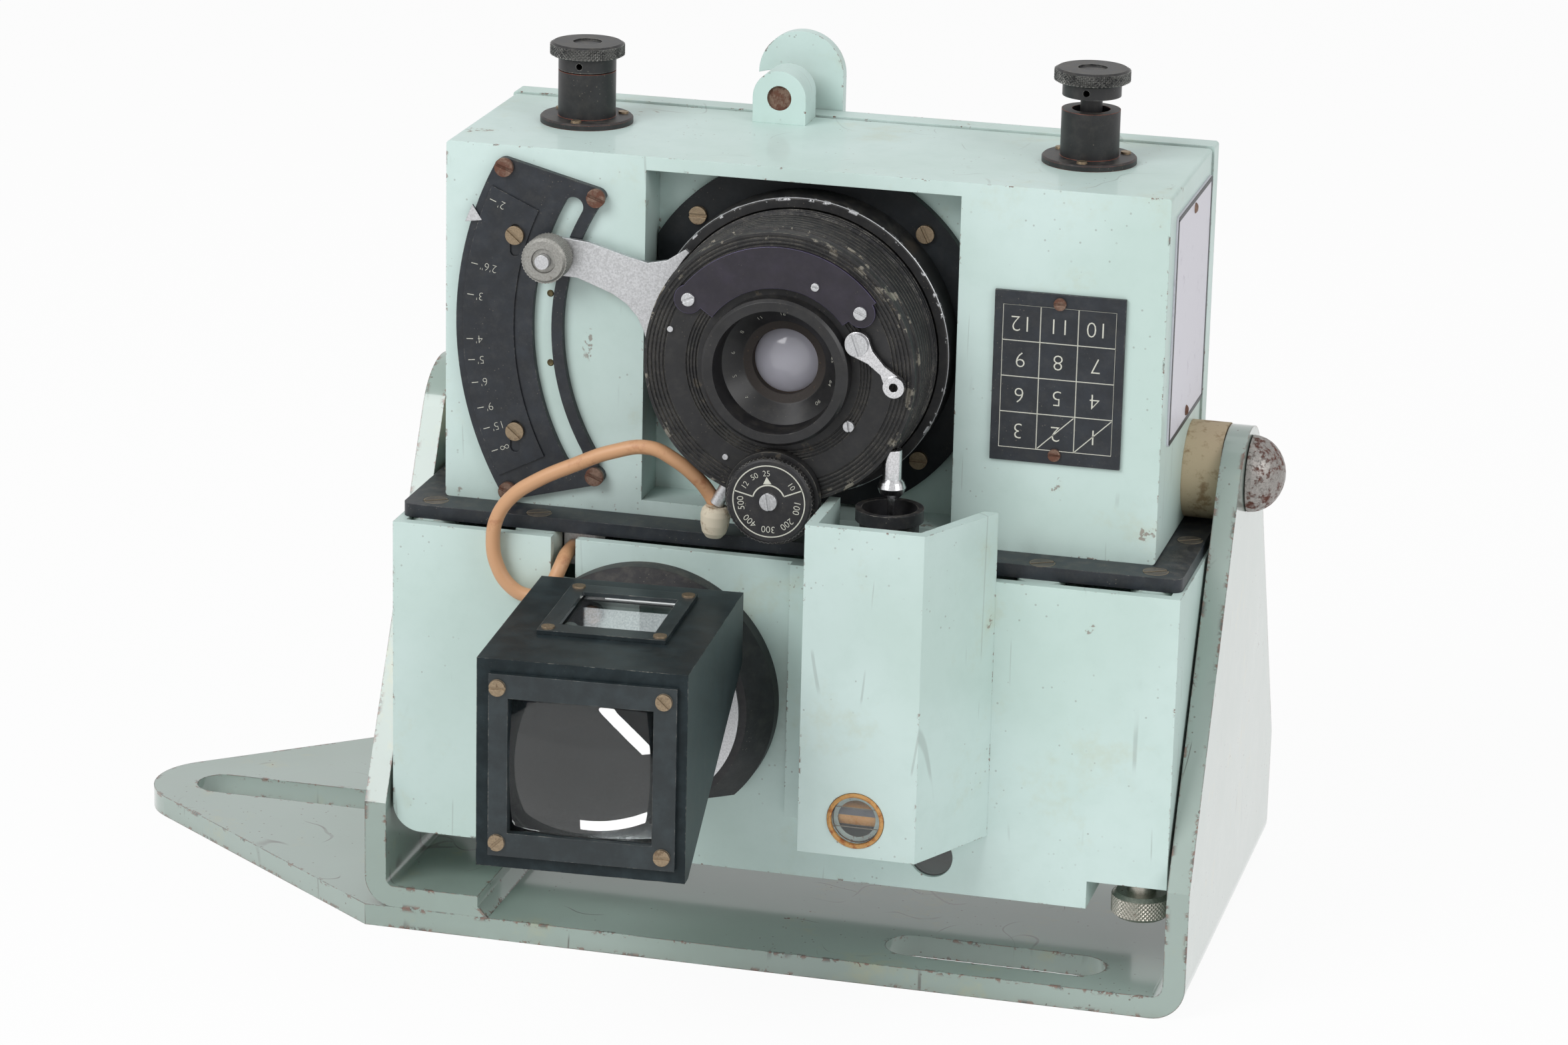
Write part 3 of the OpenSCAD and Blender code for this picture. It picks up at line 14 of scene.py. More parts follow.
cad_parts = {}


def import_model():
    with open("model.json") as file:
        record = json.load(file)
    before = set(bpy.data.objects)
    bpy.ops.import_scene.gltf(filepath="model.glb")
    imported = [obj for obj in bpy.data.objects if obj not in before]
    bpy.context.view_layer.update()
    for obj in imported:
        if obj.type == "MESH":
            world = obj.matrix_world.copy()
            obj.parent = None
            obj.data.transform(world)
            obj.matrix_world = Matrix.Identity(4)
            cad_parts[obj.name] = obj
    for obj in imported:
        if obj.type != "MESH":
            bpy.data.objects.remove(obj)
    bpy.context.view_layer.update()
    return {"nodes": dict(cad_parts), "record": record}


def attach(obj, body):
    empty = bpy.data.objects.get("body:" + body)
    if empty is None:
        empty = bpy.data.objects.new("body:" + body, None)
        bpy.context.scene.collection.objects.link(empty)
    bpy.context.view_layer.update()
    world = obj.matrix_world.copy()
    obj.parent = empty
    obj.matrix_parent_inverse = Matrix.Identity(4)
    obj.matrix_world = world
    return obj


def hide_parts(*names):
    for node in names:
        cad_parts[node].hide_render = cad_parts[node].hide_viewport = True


MM = 0.001
LOG = logging.getLogger("camera")
Colour = tuple[float, float, float]
Point = tuple[float, float, float]
Piece = bpy.types.Object

ORIGIN = (0.0, 0.0, 0.0)
ALL_ROUND = (1.0, 1.0, 1.0)
FROM_FRONT = (1.0, 0.0, 1.0)
FROM_ABOVE = (1.0, 1.0, 0.0)
LENS_AXIS = (0.0, 0.0, 174.0)
BEVEL_RAYS = 6
DOUBLES_MM = 0.002


class Facing(Enum):
    """The way a flat piece of work looks."""

    FRONT = "front"
    UP = "up"


class Align(Enum):
    """How numbers stand on their origin."""

    CENTRE = "CENTER"
    RIGHT = "RIGHT"


def placed(at: Point, facing: Facing = Facing.FRONT, yaw: float = 0.0) -> Matrix:
    """Gives the matrix of a working plane.

    Args:
        at: the plane's origin, in millimetres of the object's frame.
        facing: FRONT lays local X along +X and local Y along +Z, UP keeps the axes.
        yaw: degrees that it then turns about the vertical.

    Returns:
        The matrix that carries local metres to the object's frame.
    """
    tip = Matrix.Rotation(math.radians(90.0), 4, "X") if facing is Facing.FRONT else Matrix.Identity(4)
    swing = Matrix.Rotation(math.radians(yaw), 4, "Z")
    return Matrix.Translation(Vector(at) * MM) @ swing @ tip


class Signal:
    """A shader socket that can be used in Python expressions."""

    def __init__(self, board: "Board", socket: bpy.types.NodeSocket) -> None:
        """Wraps a socket of the board's node tree."""
        self.board = board
        self.socket = socket

    def _math(self, operation: str, *values: "Value") -> "Signal":
        """Adds a Math node with these values."""
        return self.board.node("ShaderNodeMath", {"operation": operation}, dict(enumerate(values)))

    def __add__(self, other: "Value") -> "Signal":
        """Adds."""
        return self._math("ADD", self, other)

    __radd__ = __add__

    def __sub__(self, other: "Value") -> "Signal":
        """Subtracts."""
        return self._math("SUBTRACT", self, other)

    def __rsub__(self, other: "Value") -> "Signal":
        """Subtracts from a value."""
        return self._math("SUBTRACT", other, self)

    def __mul__(self, other: "Value") -> "Signal":
        """Multiplies."""
        return self._math("MULTIPLY", self, other)

    __rmul__ = __mul__

    def greater(self, other: "Value") -> "Signal":
        """Gives the greater of two values."""
        return self._math("MAXIMUM", self, other)

    def off(self, value: float) -> "Signal":
        """Gives the distance from a value."""
        return self._math("ABSOLUTE", self - value)

    def between(self, low: float, high: float) -> "Signal":
        """Rises smoothly from 0 at low to 1 at high."""
        values = {"Value": self, "From Min": low, "From Max": high}
        return self.board.node("ShaderNodeMapRange", {"interpolation_type": "SMOOTHSTEP"}, values)


Value = Union[Signal, float, Sequence[float]]


class Board:
    """The node tree of one material or of the world, with short ways to add to it."""

    def __init__(self, owner: Union[bpy.types.Material, bpy.types.World]) -> None:
        """Empties the owner's tree and starts on it.

        Args:
            owner: the material, or the world.
        """
        self.owner = owner
        owner.use_nodes = True
        self.tree = owner.node_tree
        self.tree.nodes.clear()

    @cached_property
    def place(self) -> Signal:
        """Gives the object's coordinates."""
        return self.node("ShaderNodeTexCoord", {}, {}, "Object")

    def node(self, kind: str, settings: dict, values: dict, out: Union[str, int] = 0) -> Signal:
        """Adds a node.

        Args:
            kind: the node's type.
            settings: the node's properties, which are set first.
            values: numbers, colours or signals for the inputs, by name or index.
            out: the output that is given back.

        Returns:
            The output as a signal.
        """
        node = self.tree.nodes.new(kind)
        for key, value in settings.items():
            setattr(node, key, value)
        for key, value in values.items():
            if isinstance(value, Signal):
                self.tree.links.new(value.socket, node.inputs[key])
            elif value is not None:
                node.inputs[key].default_value = value
        return Signal(self, node.outputs[out])

    def mix(self, factor: Value, first: Value, second: Value) -> Signal:
        """Mixes two colours, each a colour or a signal."""
        pair = [value if isinstance(value, Signal) else (*value, 1.0) for value in (first, second)]
        return self.node("ShaderNodeMix", {"data_type": "RGBA"}, {0: factor, 6: pair[0], 7: pair[1]}, 2)

    def vector(self, operation: str, first: Value, second: Optional[Value] = None,
               out: Union[str, int] = 0) -> Signal:
        """Adds a Vector Math node."""
        return self.node("ShaderNodeVectorMath", {"operation": operation}, {0: first, 1: second}, out)

    def stretched(self, scale: Point, turn: Point) -> Signal:
        """Gives the object's coordinates, turned and scaled."""
        return self.node("ShaderNodeMapping", {}, {"Vector": self.place, "Rotation": turn, "Scale": scale})

    def noise(self, size_mm: float, detail: float = 3.0, rough: float = 0.5,
              of: Optional[Signal] = None) -> Signal:
        """Gives noise whose features are about size_mm across.

        Args:
            size_mm: the size in millimetres.
            detail: how many finer layers there are.
            rough: how strong the finer layers are.
            of: the coordinates, where they aren't the object's own.

        Returns:
            The values over the surface.
        """
        scale = 1.0 / (size_mm * MM)
        values = {"Vector": of or self.place, "Scale": scale, "Detail": detail, "Roughness": rough}
        return self.node("ShaderNodeTexNoise", {}, values)

    def specks(self, size_mm: float, share: float) -> Signal:
        """Gives round specks in cells of size_mm, wider with a greater share.

        Args:
            size_mm: the size of a cell in millimetres.
            share: the radius of a speck as a share of its cell.

        Returns:
            The values over the surface.
        """
        values = {"Vector": self.place, "Scale": 1.0 / (size_mm * MM), "Randomness": 1.0}
        distance = self.node("ShaderNodeTexVoronoi", {"feature": "F1"}, values)
        return 1.0 - distance.between(share * 0.7, share)

    def axis(self, name: str) -> Signal:
        """Gives one object coordinate, in metres."""
        return self.node("ShaderNodeSeparateXYZ", {}, {0: self.place}, name)

    def reach(self, centre: Point, flat: Point = ALL_ROUND) -> Signal:
        """Gives the distance from a point in millimetres; an axis with a flat of 0 is left out."""
        offset = self.vector("SUBTRACT", self.place, Vector(centre) * MM)
        return self.vector("LENGTH", self.vector("MULTIPLY", offset, flat), None, "Value")

    def within(self, centre: Point, radius: float, flat: Point = ALL_ROUND, soft: float = 0.1) -> Signal:
        """Gives 1 inside a radius in millimetres round a point, and 0 outside."""
        return 1.0 - self.reach(centre, flat).between((radius - soft) * MM, (radius + soft) * MM)

    def spots(self, places: Sequence[Point], radius: float, flat: Point, soft: float = 0.1) -> Signal:
        """Gives 1 inside a radius in millimetres round any of these points."""
        return reduce(Signal.greater, [self.within(at, radius, flat, soft) for at in places])

    def ring(self, inner: float, outer: float, soft: float = 0.05) -> Signal:
        """Gives 1 between two distances in millimetres from the lens axis.

        Args:
            inner: the lesser distance.
            outer: the greater distance.
            soft: how far each edge fades, in millimetres.

        Returns:
            The values over the surface.
        """
        radial = self.reach(LENS_AXIS, FROM_FRONT)
        outside = radial.between((outer - soft) * MM, (outer + soft) * MM)
        return radial.between((inner - soft) * MM, (inner + soft) * MM) * (1.0 - outside)

    def ahead(self, distance: float) -> Signal:
        """Gives 1 further forward than a distance in millimetres from the trunnion axis."""
        return 1.0 - self.axis("Y").between(-(distance + 0.02) * MM, -(distance - 0.02) * MM)

    def rounded(self, radius: float) -> Signal:
        """Gives the surface normal with edges rounded by a radius in millimetres."""
        return self.node("ShaderNodeBevel", {"samples": BEVEL_RAYS}, {"Radius": radius * MM})

    def edges(self, radius: float) -> Signal:
        """Gives 0 on flat faces and about 0.1 to 0.4 on edges within a radius in millimetres."""
        flat = self.node("ShaderNodeNewGeometry", {}, {}, "Normal")
        return 1.0 - self.vector("DOT_PRODUCT", self.rounded(radius), flat, "Value")

    def corners(self, distance: float) -> Signal:
        """Gives 1 deep in corners and 0 in the open, within a distance in millimetres."""
        settings = {"samples": BEVEL_RAYS, "only_local": False}
        return 1.0 - self.node("ShaderNodeAmbientOcclusion", settings, {"Distance": distance * MM}, "AO")

    def upward(self) -> Signal:
        """Gives 1 on faces that look up and 0 on upright ones."""
        normal = self.node("ShaderNodeNewGeometry", {}, {}, "Normal")
        return self.node("ShaderNodeSeparateXYZ", {}, {0: normal}, "Z").between(0.5, 0.95)

    def scratches(self, size_mm: float, width: float, lean: Point) -> Signal:
        """Gives long wandering hairlines that run in one direction and fade in patches.

        Args:
            size_mm: the size in millimetres.
            width: how wide the hairlines are, as a share of the noise.
            lean: how far the direction is turned about each axis, in radians.

        Returns:
            The values over the surface.
        """
        course = self.noise(size_mm, 1.0, 0.4, self.stretched((1.0, 1.0, 0.08), lean))
        patches = self.noise(size_mm * 0.8, 2.0).between(0.56, 0.66)
        return (1.0 - course.off(0.5).between(width * 0.4, width)) * patches

    def bumped(self, height: Signal, base: Optional[Signal]) -> Signal:
        """Turns a height in millimetres into a normal."""
        values = {"Height": height, "Distance": MM, "Strength": 1.0, "Normal": base}
        return self.node("ShaderNodeBump", {}, values)

    def laid(self, mask: Signal, over: "Look", under: "Look") -> "Look":
        """Lays one look over another where the mask is 1.

        Args:
            mask: 1 where the upper look lies.
            over: the upper look.
            under: the lower look.

        Returns:
            The mixed look.
        """
        return Look(
            self.mix(mask, under.colour, over.colour),
            under.rough + mask * (over.rough - under.rough),
            under.metal + mask * (over.metal - under.metal),
            under.height + mask * (over.height - under.height),
        )

    def seen(self) -> Signal:
        """Gives 1 to the camera, to mirrors and through glass, and 0 to light on its way."""
        rays = ("Is Camera Ray", "Is Glossy Ray", "Is Transmission Ray")
        return reduce(Signal.greater, [self.node("ShaderNodeLightPath", {}, {}, ray) for ray in rays])

    def lead_out(self, shader: Signal, kind: str = "ShaderNodeOutputMaterial") -> None:
        """Leads a shader to the tree's output."""
        output = self.tree.nodes.new(kind)
        self.tree.links.new(shader.socket, output.inputs["Surface"])

    def finish(self, look: "Look", rounding: float, sockets: dict[str, float]) -> bpy.types.Material:
        """Joins everything into a Principled shader.

        Args:
            look: what the surface is like.
            rounding: radius in millimetres by which edges look rounded.
            sockets: the shader's constant inputs, by name.

        Returns:
            The material.
        """
        colour = look.colour if isinstance(look.colour, Signal) else (*look.colour, 1.0)
        normal = self.rounded(rounding) if rounding else None
        if isinstance(look.height, Signal):
            normal = self.bumped(look.height, normal)
        values = {"Base Color": colour, "Roughness": look.rough, "Metallic": look.metal, "Normal": normal}
        self.lead_out(self.node("ShaderNodeBsdfPrincipled", {}, {**values, **sockets}))
        return self.owner


@dataclass
class Look:
    """What a surface is like: colour, roughness, metallic, and height in millimetres."""

    colour: Value
    rough: Value
    metal: Value = 0.0
    height: Value = 0.0


def tint(red: int, green: int, blue: int) -> Colour:
    """Gives the linear colour of a tint seen as these values from 0 to 255.

    Args:
        red: its red, from 0 to 255.
        green: its green.
        blue: its blue.

    Returns:
        The linear colour.
    """
    return tuple(
        part / 12.92 if part <= 0.04045 else ((part + 0.055) / 1.055) ** 2.4
        for part in (red / 255.0, green / 255.0, blue / 255.0)
    )


def scaled(colour: Colour, share: float, lift: float = 0.0) -> Colour:
    """Gives a colour made brighter or darker."""
    return tuple(part * share + lift for part in colour)


RUST = tint(122, 80, 64)
DARK_STEEL = tint(62, 56, 52)
# Earth brown laid in corners: dirt and painted shade at once.
DIRT_AND_SHADE = tint(96, 80, 58)
DUST = tint(146, 140, 128)
CRUMBS = tint(170, 160, 142)
PAINT_SHEEN = tint(170, 196, 186)
GREASE = tint(186, 182, 136)
RUST_DOTS = tint(92, 74, 60)
SCRATCHED_STEEL = tint(104, 104, 98)
GLASS_DUST = tint(190, 186, 176)
EDGE_MM = 0.25
FINE_EDGES_MM = {
    "rim_black": 0.05, "satin_steel": 0.05, "nickel": 0.05, "optical_glass": 0.0, "milky_glass": 0.0}


@dataclass(frozen=True)
class Finish:
    """A finish with a name; each kind of finish gives its own look."""

    name: str

    def look(self, board: Board) -> Look:
        """Gives the look of this finish on a board."""
        raise NotImplementedError

    def sockets(self) -> dict[str, float]:
        """Gives the shader's constant inputs."""
        return {}

    def build(self) -> bpy.types.Material:
        """Makes the material."""
        board = Board(bpy.data.materials.new(self.name))
        return board.finish(self.look(board), FINE_EDGES_MM.get(self.name, EDGE_MM), self.sockets())


@dataclass(frozen=True)
class OldPaint(Finish):
    """Brushed enamel on a casting, chipped at its edges, stained where grease and dust have lain, and
    darkened in corners by dirt and painted shade.
    """

    colour: Colour = (0.5, 0.6, 0.55)
    chips: float = 0.3
    # Sets the stains and also the painted shade in corners.
    stains_and_shade: float = 0.3
    scratched: float = 0.3
    rough: float = 0.42
    worn_mm: float = 1.2
    coat: float = 0.2
    coat_rough: float = 0.08

    def look(self, board: Board) -> Look:
        """Gives paint, then stains, dirt with painted shade in corners, and chips over it.

        Args:
            board: the node tree to work on.

        Returns:
            The look.
        """
        broad = board.noise(70.0, 2.0)
        mottle = board.noise(8.0, 5.0, 0.62)
        grain = board.noise(1.3, 4.0, 0.6)
        paler = scaled(self.colour, 1.05)
        deeper = (self.colour[0] * 0.93, self.colour[1] * 0.955, self.colour[2] * 0.93)
        colour = board.mix(broad.between(0.35, 0.65), deeper, paler)
        colour = board.mix(mottle.between(0.4, 0.75) * 0.12, colour, PAINT_SHEEN)
        yellow = board.noise(26.0, 5.0, 0.7).between(0.56, 0.74) * (0.5 * self.stains_and_shade)
        colour = board.mix(yellow, colour, GREASE)
        # Painted shade: an occlusion mask darkens corners towards earth brown in patches. It is partly dirt
        # and partly the shade that falls there.
        corner_dirt_and_shade = board.corners(7.0).between(0.25, 0.95) * mottle.between(0.3, 0.62) * (0.75 * self.stains_and_shade)
        colour = board.mix(corner_dirt_and_shade, colour, DIRT_AND_SHADE)
        dots = board.specks(2.6, 0.13) * board.noise(17.0, 2.0).between(0.5, 0.6) * (0.8 * self.stains_and_shade)
        colour = board.mix(dots, colour, RUST_DOTS)
        lines = board.scratches(34.0, 0.006, (0.5, 0.9, 0.2)) * self.scratched
        lines = lines.greater(board.scratches(27.0, 0.005, (1.2, 0.3, 0.9)) * self.scratched)
        colour = board.mix(lines, colour, SCRATCHED_STEEL)
        edge = board.edges(0.9).between(0.015, 0.2)
        flaking = edge * 0.42 + mottle * 0.34 + grain * 0.24
        worn = 0.12 * self.chips
        chip = flaking.between(0.775 - worn, 0.8 - worn)
        brink = board.edges(self.worn_mm).between(0.0, 0.05)
        peeling = brink * 0.34 + board.noise(6.0, 4.0, 0.6) * 0.42 + grain * 0.24
        worn = 0.055 * self.chips
        chip = chip.greater(peeling.between(0.745 - worn, 0.76 - worn))
        sites = board.noise(13.0, 3.0, 0.55).between(0.7, 0.725)
        chip = chip.greater(sites * grain.between(0.52, 0.56) * min(1.0, 2.2 * self.chips))
        colour = board.mix(chip, colour, board.mix(grain.between(0.45, 0.6), DARK_STEEL, RUST))
        height = mottle * 0.03 + board.noise(0.7, 2.0) * 0.008 - chip * 0.05
        return Look(colour, self.rough + mottle * 0.14 + chip * 0.25, 0.0, height)

    def sockets(self) -> dict[str, float]:
        """Gives the thin gloss over the paint."""
        return {"Coat Weight": self.coat, "Coat Roughness": self.coat_rough}


@dataclass(frozen=True)
class Blacking(Finish):
    """A black finish on metal, rubbed through at its edges and dusty on top."""

    colour: Colour = (0.012, 0.013, 0.016)
    bare: Colour = tint(168, 164, 154)
    wear: float = 0.4
    dust: float = 0.3
    rough: float = 0.38
    cast: bool = False
    shine: float = 0.5

    def sockets(self) -> dict[str, float]:
        """Gives more gloss with more shine."""
        return {"Specular IOR Level": self.shine}

    def look(self, board: Board) -> Look:
        """Gives the black, then wear, dust and specks.

        Args:
            board: the node tree to work on.

        Returns:
            The look.
        """
        mottle = board.noise(6.0, 4.0, 0.6)
        grain = board.noise(0.8, 4.0, 0.65)
        colour = board.mix(mottle.between(0.35, 0.75) * 0.5, self.colour, scaled(self.colour, 2.4, 0.004))
        settled = (board.upward() * 0.45 + 0.14) * board.noise(3.2, 5.0, 0.7).between(0.42, 0.72)
        colour = board.mix(settled * self.dust, colour, DUST)
        crumbs = board.specks(1.1, 0.16) * board.noise(9.0, 3.0).between(0.5, 0.62)
        colour = board.mix(crumbs * (0.7 * self.dust), colour, CRUMBS)
        edge = board.edges(0.45).between(0.01, 0.17)
        rubbed = edge * 0.5 + mottle * 0.26 + grain * 0.24
        worn = 0.3 * self.wear
        bare = rubbed.between(0.86 - worn, 0.95 - worn)
        colour = board.mix(bare, colour, self.bare)
        rough = self.rough + mottle * 0.12 + settled * (0.4 * self.dust)
        height = grain * (0.05 if self.cast else 0.006) + mottle * 0.01
        return Look(colour, rough, bare * 0.6, height)


@dataclass(frozen=True)
class BareMetal(Finish):
    """Bare or plated metal with a grain, and tarnish or rust in patches."""

    colour: Colour = tint(190, 190, 188)
    rough: float = 0.3
    tarnish: Colour = tint(98, 84, 66)
    share: float = 0.2
    pitted: float = 0.0

    def look(self, board: Board) -> Look:
        """Gives metal with tarnish over it.

        Args:
            board: the node tree to work on.

        Returns:
            The look.
        """
        lines = board.noise(0.5, 3.0, 0.6)
        mottle = board.noise(3.0, 5.0, 0.68)
        colour = board.mix(lines.between(0.3, 0.7), scaled(self.colour, 0.72), self.colour)
        low = 0.78 - 0.5 * self.share
        rust = mottle.between(low, low + 0.14).greater(board.corners(1.6).between(0.45, 0.9) * self.share)
        colour = board.mix(rust, colour, self.tarnish)
        pits = board.noise(1.5, 4.0, 0.7).between(0.5, 0.7) * self.pitted
        rough = self.rough + lines * 0.12 + rust * 0.35
        height = lines * 0.006 - pits * 0.3 - rust * 0.01
        return Look(colour, rough, 1.0 - rust * 0.9, height)


@dataclass(frozen=True)
class Moulding(Finish):
    """A plain non-metal, mottled with a second colour."""

    colour: Colour = (0.2, 0.1, 0.05)
    second: Colour = (0.1, 0.06, 0.03)
    size_mm: float = 3.0
    share: float = 0.5
    rough: float = 0.5
    relief: float = 0.03

    def look(self, board: Board) -> Look:
        """Gives the two colours in patches, and dirt with painted shade darkening the corners.

        Args:
            board: the node tree to work on.

        Returns:
            The look.
        """
        patches = board.noise(self.size_mm, 5.0, 0.68)
        grain = board.noise(0.6, 3.0, 0.6)
        low = 0.75 - 0.5 * self.share
        colour = board.mix(patches.between(low, low + 0.18), self.colour, self.second)
        # Painted shade: an occlusion mask darkens corners towards earth brown. It is partly dirt and partly
        # the shade that falls there.
        colour = board.mix(board.corners(1.5).between(0.4, 0.95) * 0.6, colour, DIRT_AND_SHADE)
        height = patches * self.relief + grain * self.relief * 0.4
        return Look(colour, self.rough + grain * 0.15, 0.0, height)


@dataclass(frozen=True)
class Glazing(Finish):
    """Glass, clear or milky, with a little dust on it."""

    colour: Colour = (0.92, 0.94, 0.94)
    clear: float = 1.0
    bend: float = 1.5
    haze: float = 0.03
    dusty: float = 0.12

    def look(self, board: Board) -> Look:
        """Gives glass that dust has dulled in patches."""
        dust = board.noise(2.2, 5.0, 0.7).between(0.5, 0.8)
        return Look(board.mix(dust * 0.12, self.colour, GLASS_DUST), self.haze + dust * self.dusty)

    def sockets(self) -> dict[str, float]:
        """Lets light through and bends it."""
        return {"Transmission Weight": self.clear, "IOR": self.bend}


@dataclass(frozen=True)
class Patched(Finish):
    """One finish with another where a mask is 1, for a node of two materials."""

    ground: Finish = None
    patch: Finish = None
    mask: Callable[[Board], Signal] = None

    def look(self, board: Board) -> Look:
        """Lays the patch's look over the ground's."""
        return board.laid(self.mask(board), self.patch.look(board), self.ground.look(board))


MINT = OldPaint("mint_paint", tint(205, 225, 221), 0.28, 0.42, 0.25)
BRACKET = OldPaint("bracket_paint", tint(156, 172, 165), 0.84, 0.85, 0.9, 0.24, 2.4, 1.0)
BLACK_PAINT = Blacking("black_paint", (0.010, 0.013, 0.018), wear=0.35, dust=0.3)
BLACK_METAL = Blacking("black_metal", (0.011, 0.011, 0.013), wear=0.45, dust=0.42, rough=0.42)
BLACK_CASTING = Blacking("black_casting", (0.012, 0.012, 0.014), wear=0.1, dust=0.35, rough=0.45, cast=True)
FINDER_BLACK = Blacking("finder_black", (0.013, 0.020, 0.023), wear=0.4, dust=0.05, rough=0.26, shine=0.16)
FLANGE_BLACK = Blacking("flange_black", (0.006, 0.008, 0.010), wear=0.3, dust=0.14, rough=0.4, shine=0.3)
CASE_BLACK = Blacking("case_black", (0.009, 0.009, 0.010), tint(116, 112, 102), 0.48, 0.26, 0.44)
CASE_ALLOY = BareMetal("case_alloy", tint(148, 144, 134), 0.5, tarnish=tint(84, 76, 64), share=0.5)
VIOLET_BLACK = Blacking("violet_black", (0.012, 0.009, 0.017), tint(102, 96, 128), 0.72, 0.12, 0.3)
CELL_BLACK = Blacking("cell_enamel", (0.008, 0.008, 0.009), wear=0.25, dust=0.2, rough=0.3)
RIM_BLACK = Blacking("rim_black", (0.011, 0.011, 0.012), tint(148, 147, 143), 0.55, 0.4, 0.36)
SCREW_BLACK = Blacking("screw_black", (0.05, 0.043, 0.036), tint(156, 142, 118), 0.75, 0.5, 0.45)
BUSH_BLACK = Blacking("bush_enamel", (0.010, 0.010, 0.011), tint(150, 76, 50), wear=0.66, dust=0.35)
DOME = BareMetal("cast_grey", tint(168, 164, 160), 0.4, tarnish=tint(104, 60, 48), share=0.58, pitted=0.8)
FIBRE = Moulding("fibre", tint(196, 178, 148), tint(150, 124, 92), 5.0, 0.5, 0.6, 0.05)
STEEL = BareMetal("bright_steel", tint(217, 218, 220), 0.4, share=0.12)
CHROME = BareMetal("chrome", tint(226, 226, 228), 0.14, share=0.06)
SATIN = BareMetal("satin_steel", tint(172, 171, 166), 0.5, tarnish=tint(112, 104, 92), share=0.3)
DULL_BRASS = BareMetal("dull_brass", tint(122, 112, 84), 0.55, tarnish=tint(78, 66, 50), share=0.5)
RUSTY = BareMetal("rusty_steel", tint(146, 122, 108), 0.5, tarnish=tint(106, 72, 58), share=0.7, pitted=0.2)
BRASS = BareMetal("aged_brass", tint(164, 146, 122), 0.42, tarnish=tint(104, 82, 60), share=0.45)
NICKEL = BareMetal("nickel", tint(204, 200, 190), 0.32, tarnish=tint(120, 100, 76), share=0.3)
LILAC = Moulding("lilac_plate", tint(220, 218, 227), tint(194, 190, 202), 6.0, 0.35, 0.34, 0.01)
GRIT = Moulding("baked_grit", tint(42, 35, 31), tint(98, 74, 54), 1.1, 0.3, 0.6, 0.05)
CLEAR = Glazing("optical_glass", haze=0.0, dusty=0.03)
MILKY = Glazing("milky_glass", tint(210, 209, 220), clear=0.4, haze=0.05)
SILVERED = BareMetal("mirror", tint(232, 236, 238), 0.06, tarnish=tint(120, 120, 112), share=0.1)
AMBER = Moulding("amber", tint(250, 188, 116), tint(240, 168, 90), 5.0, 0.5, 0.2, 0.0)
VIAL_GREY = Moulding("vial_grey", tint(124, 126, 134), tint(104, 106, 114), 3.0, 0.4, 0.25, 0.0)
SEAL = Moulding("amber_seal", tint(206, 156, 92), tint(164, 92, 40), 1.8, 0.6, 0.45, 0.3)
RUBBER = Moulding("dark_rubber", tint(38, 37, 36), tint(56, 52, 48), 4.0, 0.4, 0.7)
TAN = Moulding("tan_sleeve", tint(208, 160, 120), tint(172, 112, 78), 11.0, 0.4, 0.36, 0.02)
IVORY = Moulding("ivory", tint(222, 212, 190), tint(150, 122, 88), 4.0, 0.42, 0.5)
COPPER = BareMetal("copper_coil", tint(190, 110, 74), 0.4, share=0.3)
ENGRAVED = Moulding("engraved_white", tint(214, 214, 202), tint(170, 166, 150), 3.0, 0.35, 0.6, 0.0)

SLOT_FINISHES = {
    finish.name: finish
    for finish in (MINT, BRACKET, BLACK_PAINT, BLACK_METAL, DOME, FIBRE, STEEL, CHROME, RUSTY, BRASS, NICKEL,
                   LILAC, CLEAR, SILVERED, AMBER, SEAL, RUBBER, TAN, IVORY, COPPER)
}

FINDER_MID = (-34.2, 84.3)
FINDER_YAW = 3.3
FINDER_TOP = 112.9
FINDER_FRONT = 71.0
FRAME_SCREW_STEPS = ((-22.0, -21.3), (-22.0, 21.3), (22.0, -21.3), (22.0, 21.3))
FRAME_SCREW_R = 2.25
FRAME_TOP_UP = 1.23
LATCH_STUD = (-19.7, 0.0, 230.6)
LATCH_STUD_R = 3.45
LATCH_LUG_BACK = 13.3
TEETH_PLATE_Y = -76.57
POINTER_FRONT = 51.1
CASE_RIM = (35.4, 39.0)
CASE_RIM_FRONT = 66.5
CASE_HUB = (20.5, 24.0)
CASE_HUB_FRONT = 70.0
RING_EDGE = (41.3, 43.0)
RING_EDGE_FRONT = 48.05
RING_NIBBLES = (40.7, 43.0)
RING_NIBBLES_FRONT = 47.4
FLANGE_R = 49.5
FRONT_GLASS_R = 11.4
KNOB_AT = (70.8, -13.1)
BUSH_SCREWS_R = 10.4
BUSH_SCREW_TURNS = (30.0, 150.0, 270.0)
BUSH_HEAD_R = 1.5
BAND_SCREWS = ((-79.1, 0.0, 143.7), (-79.5, 0.0, 199.2))
BAND_HEAD_R = 3.2
LEVEL_AT = (29.4, -89.3, 56.5)
VIAL_FIELD = (0.45, 2.35)
VIAL_LOW = -2.55


def finder_screws(board: Board) -> Signal:
    """Gives 1 on the finder's eight frame screws.

    Args:
        board: the node tree to work on.

    Returns:
        The values over the surface.
    """
    turn = math.radians(FINDER_YAW)
    middle = FINDER_MID[0] + FINDER_FRONT * math.sin(turn)
    across = math.cos(turn)
    places = [(middle + side * across, 0.0, FINDER_MID[1] + rise) for side, rise in FRAME_SCREW_STEPS]
    front = board.spots(places, FRAME_SCREW_R, FROM_FRONT)
    frame_top = FINDER_TOP + FRAME_TOP_UP
    heads = board.axis("Z").between((frame_top - 0.01) * MM, (frame_top + 0.01) * MM)
    return front.greater(heads)


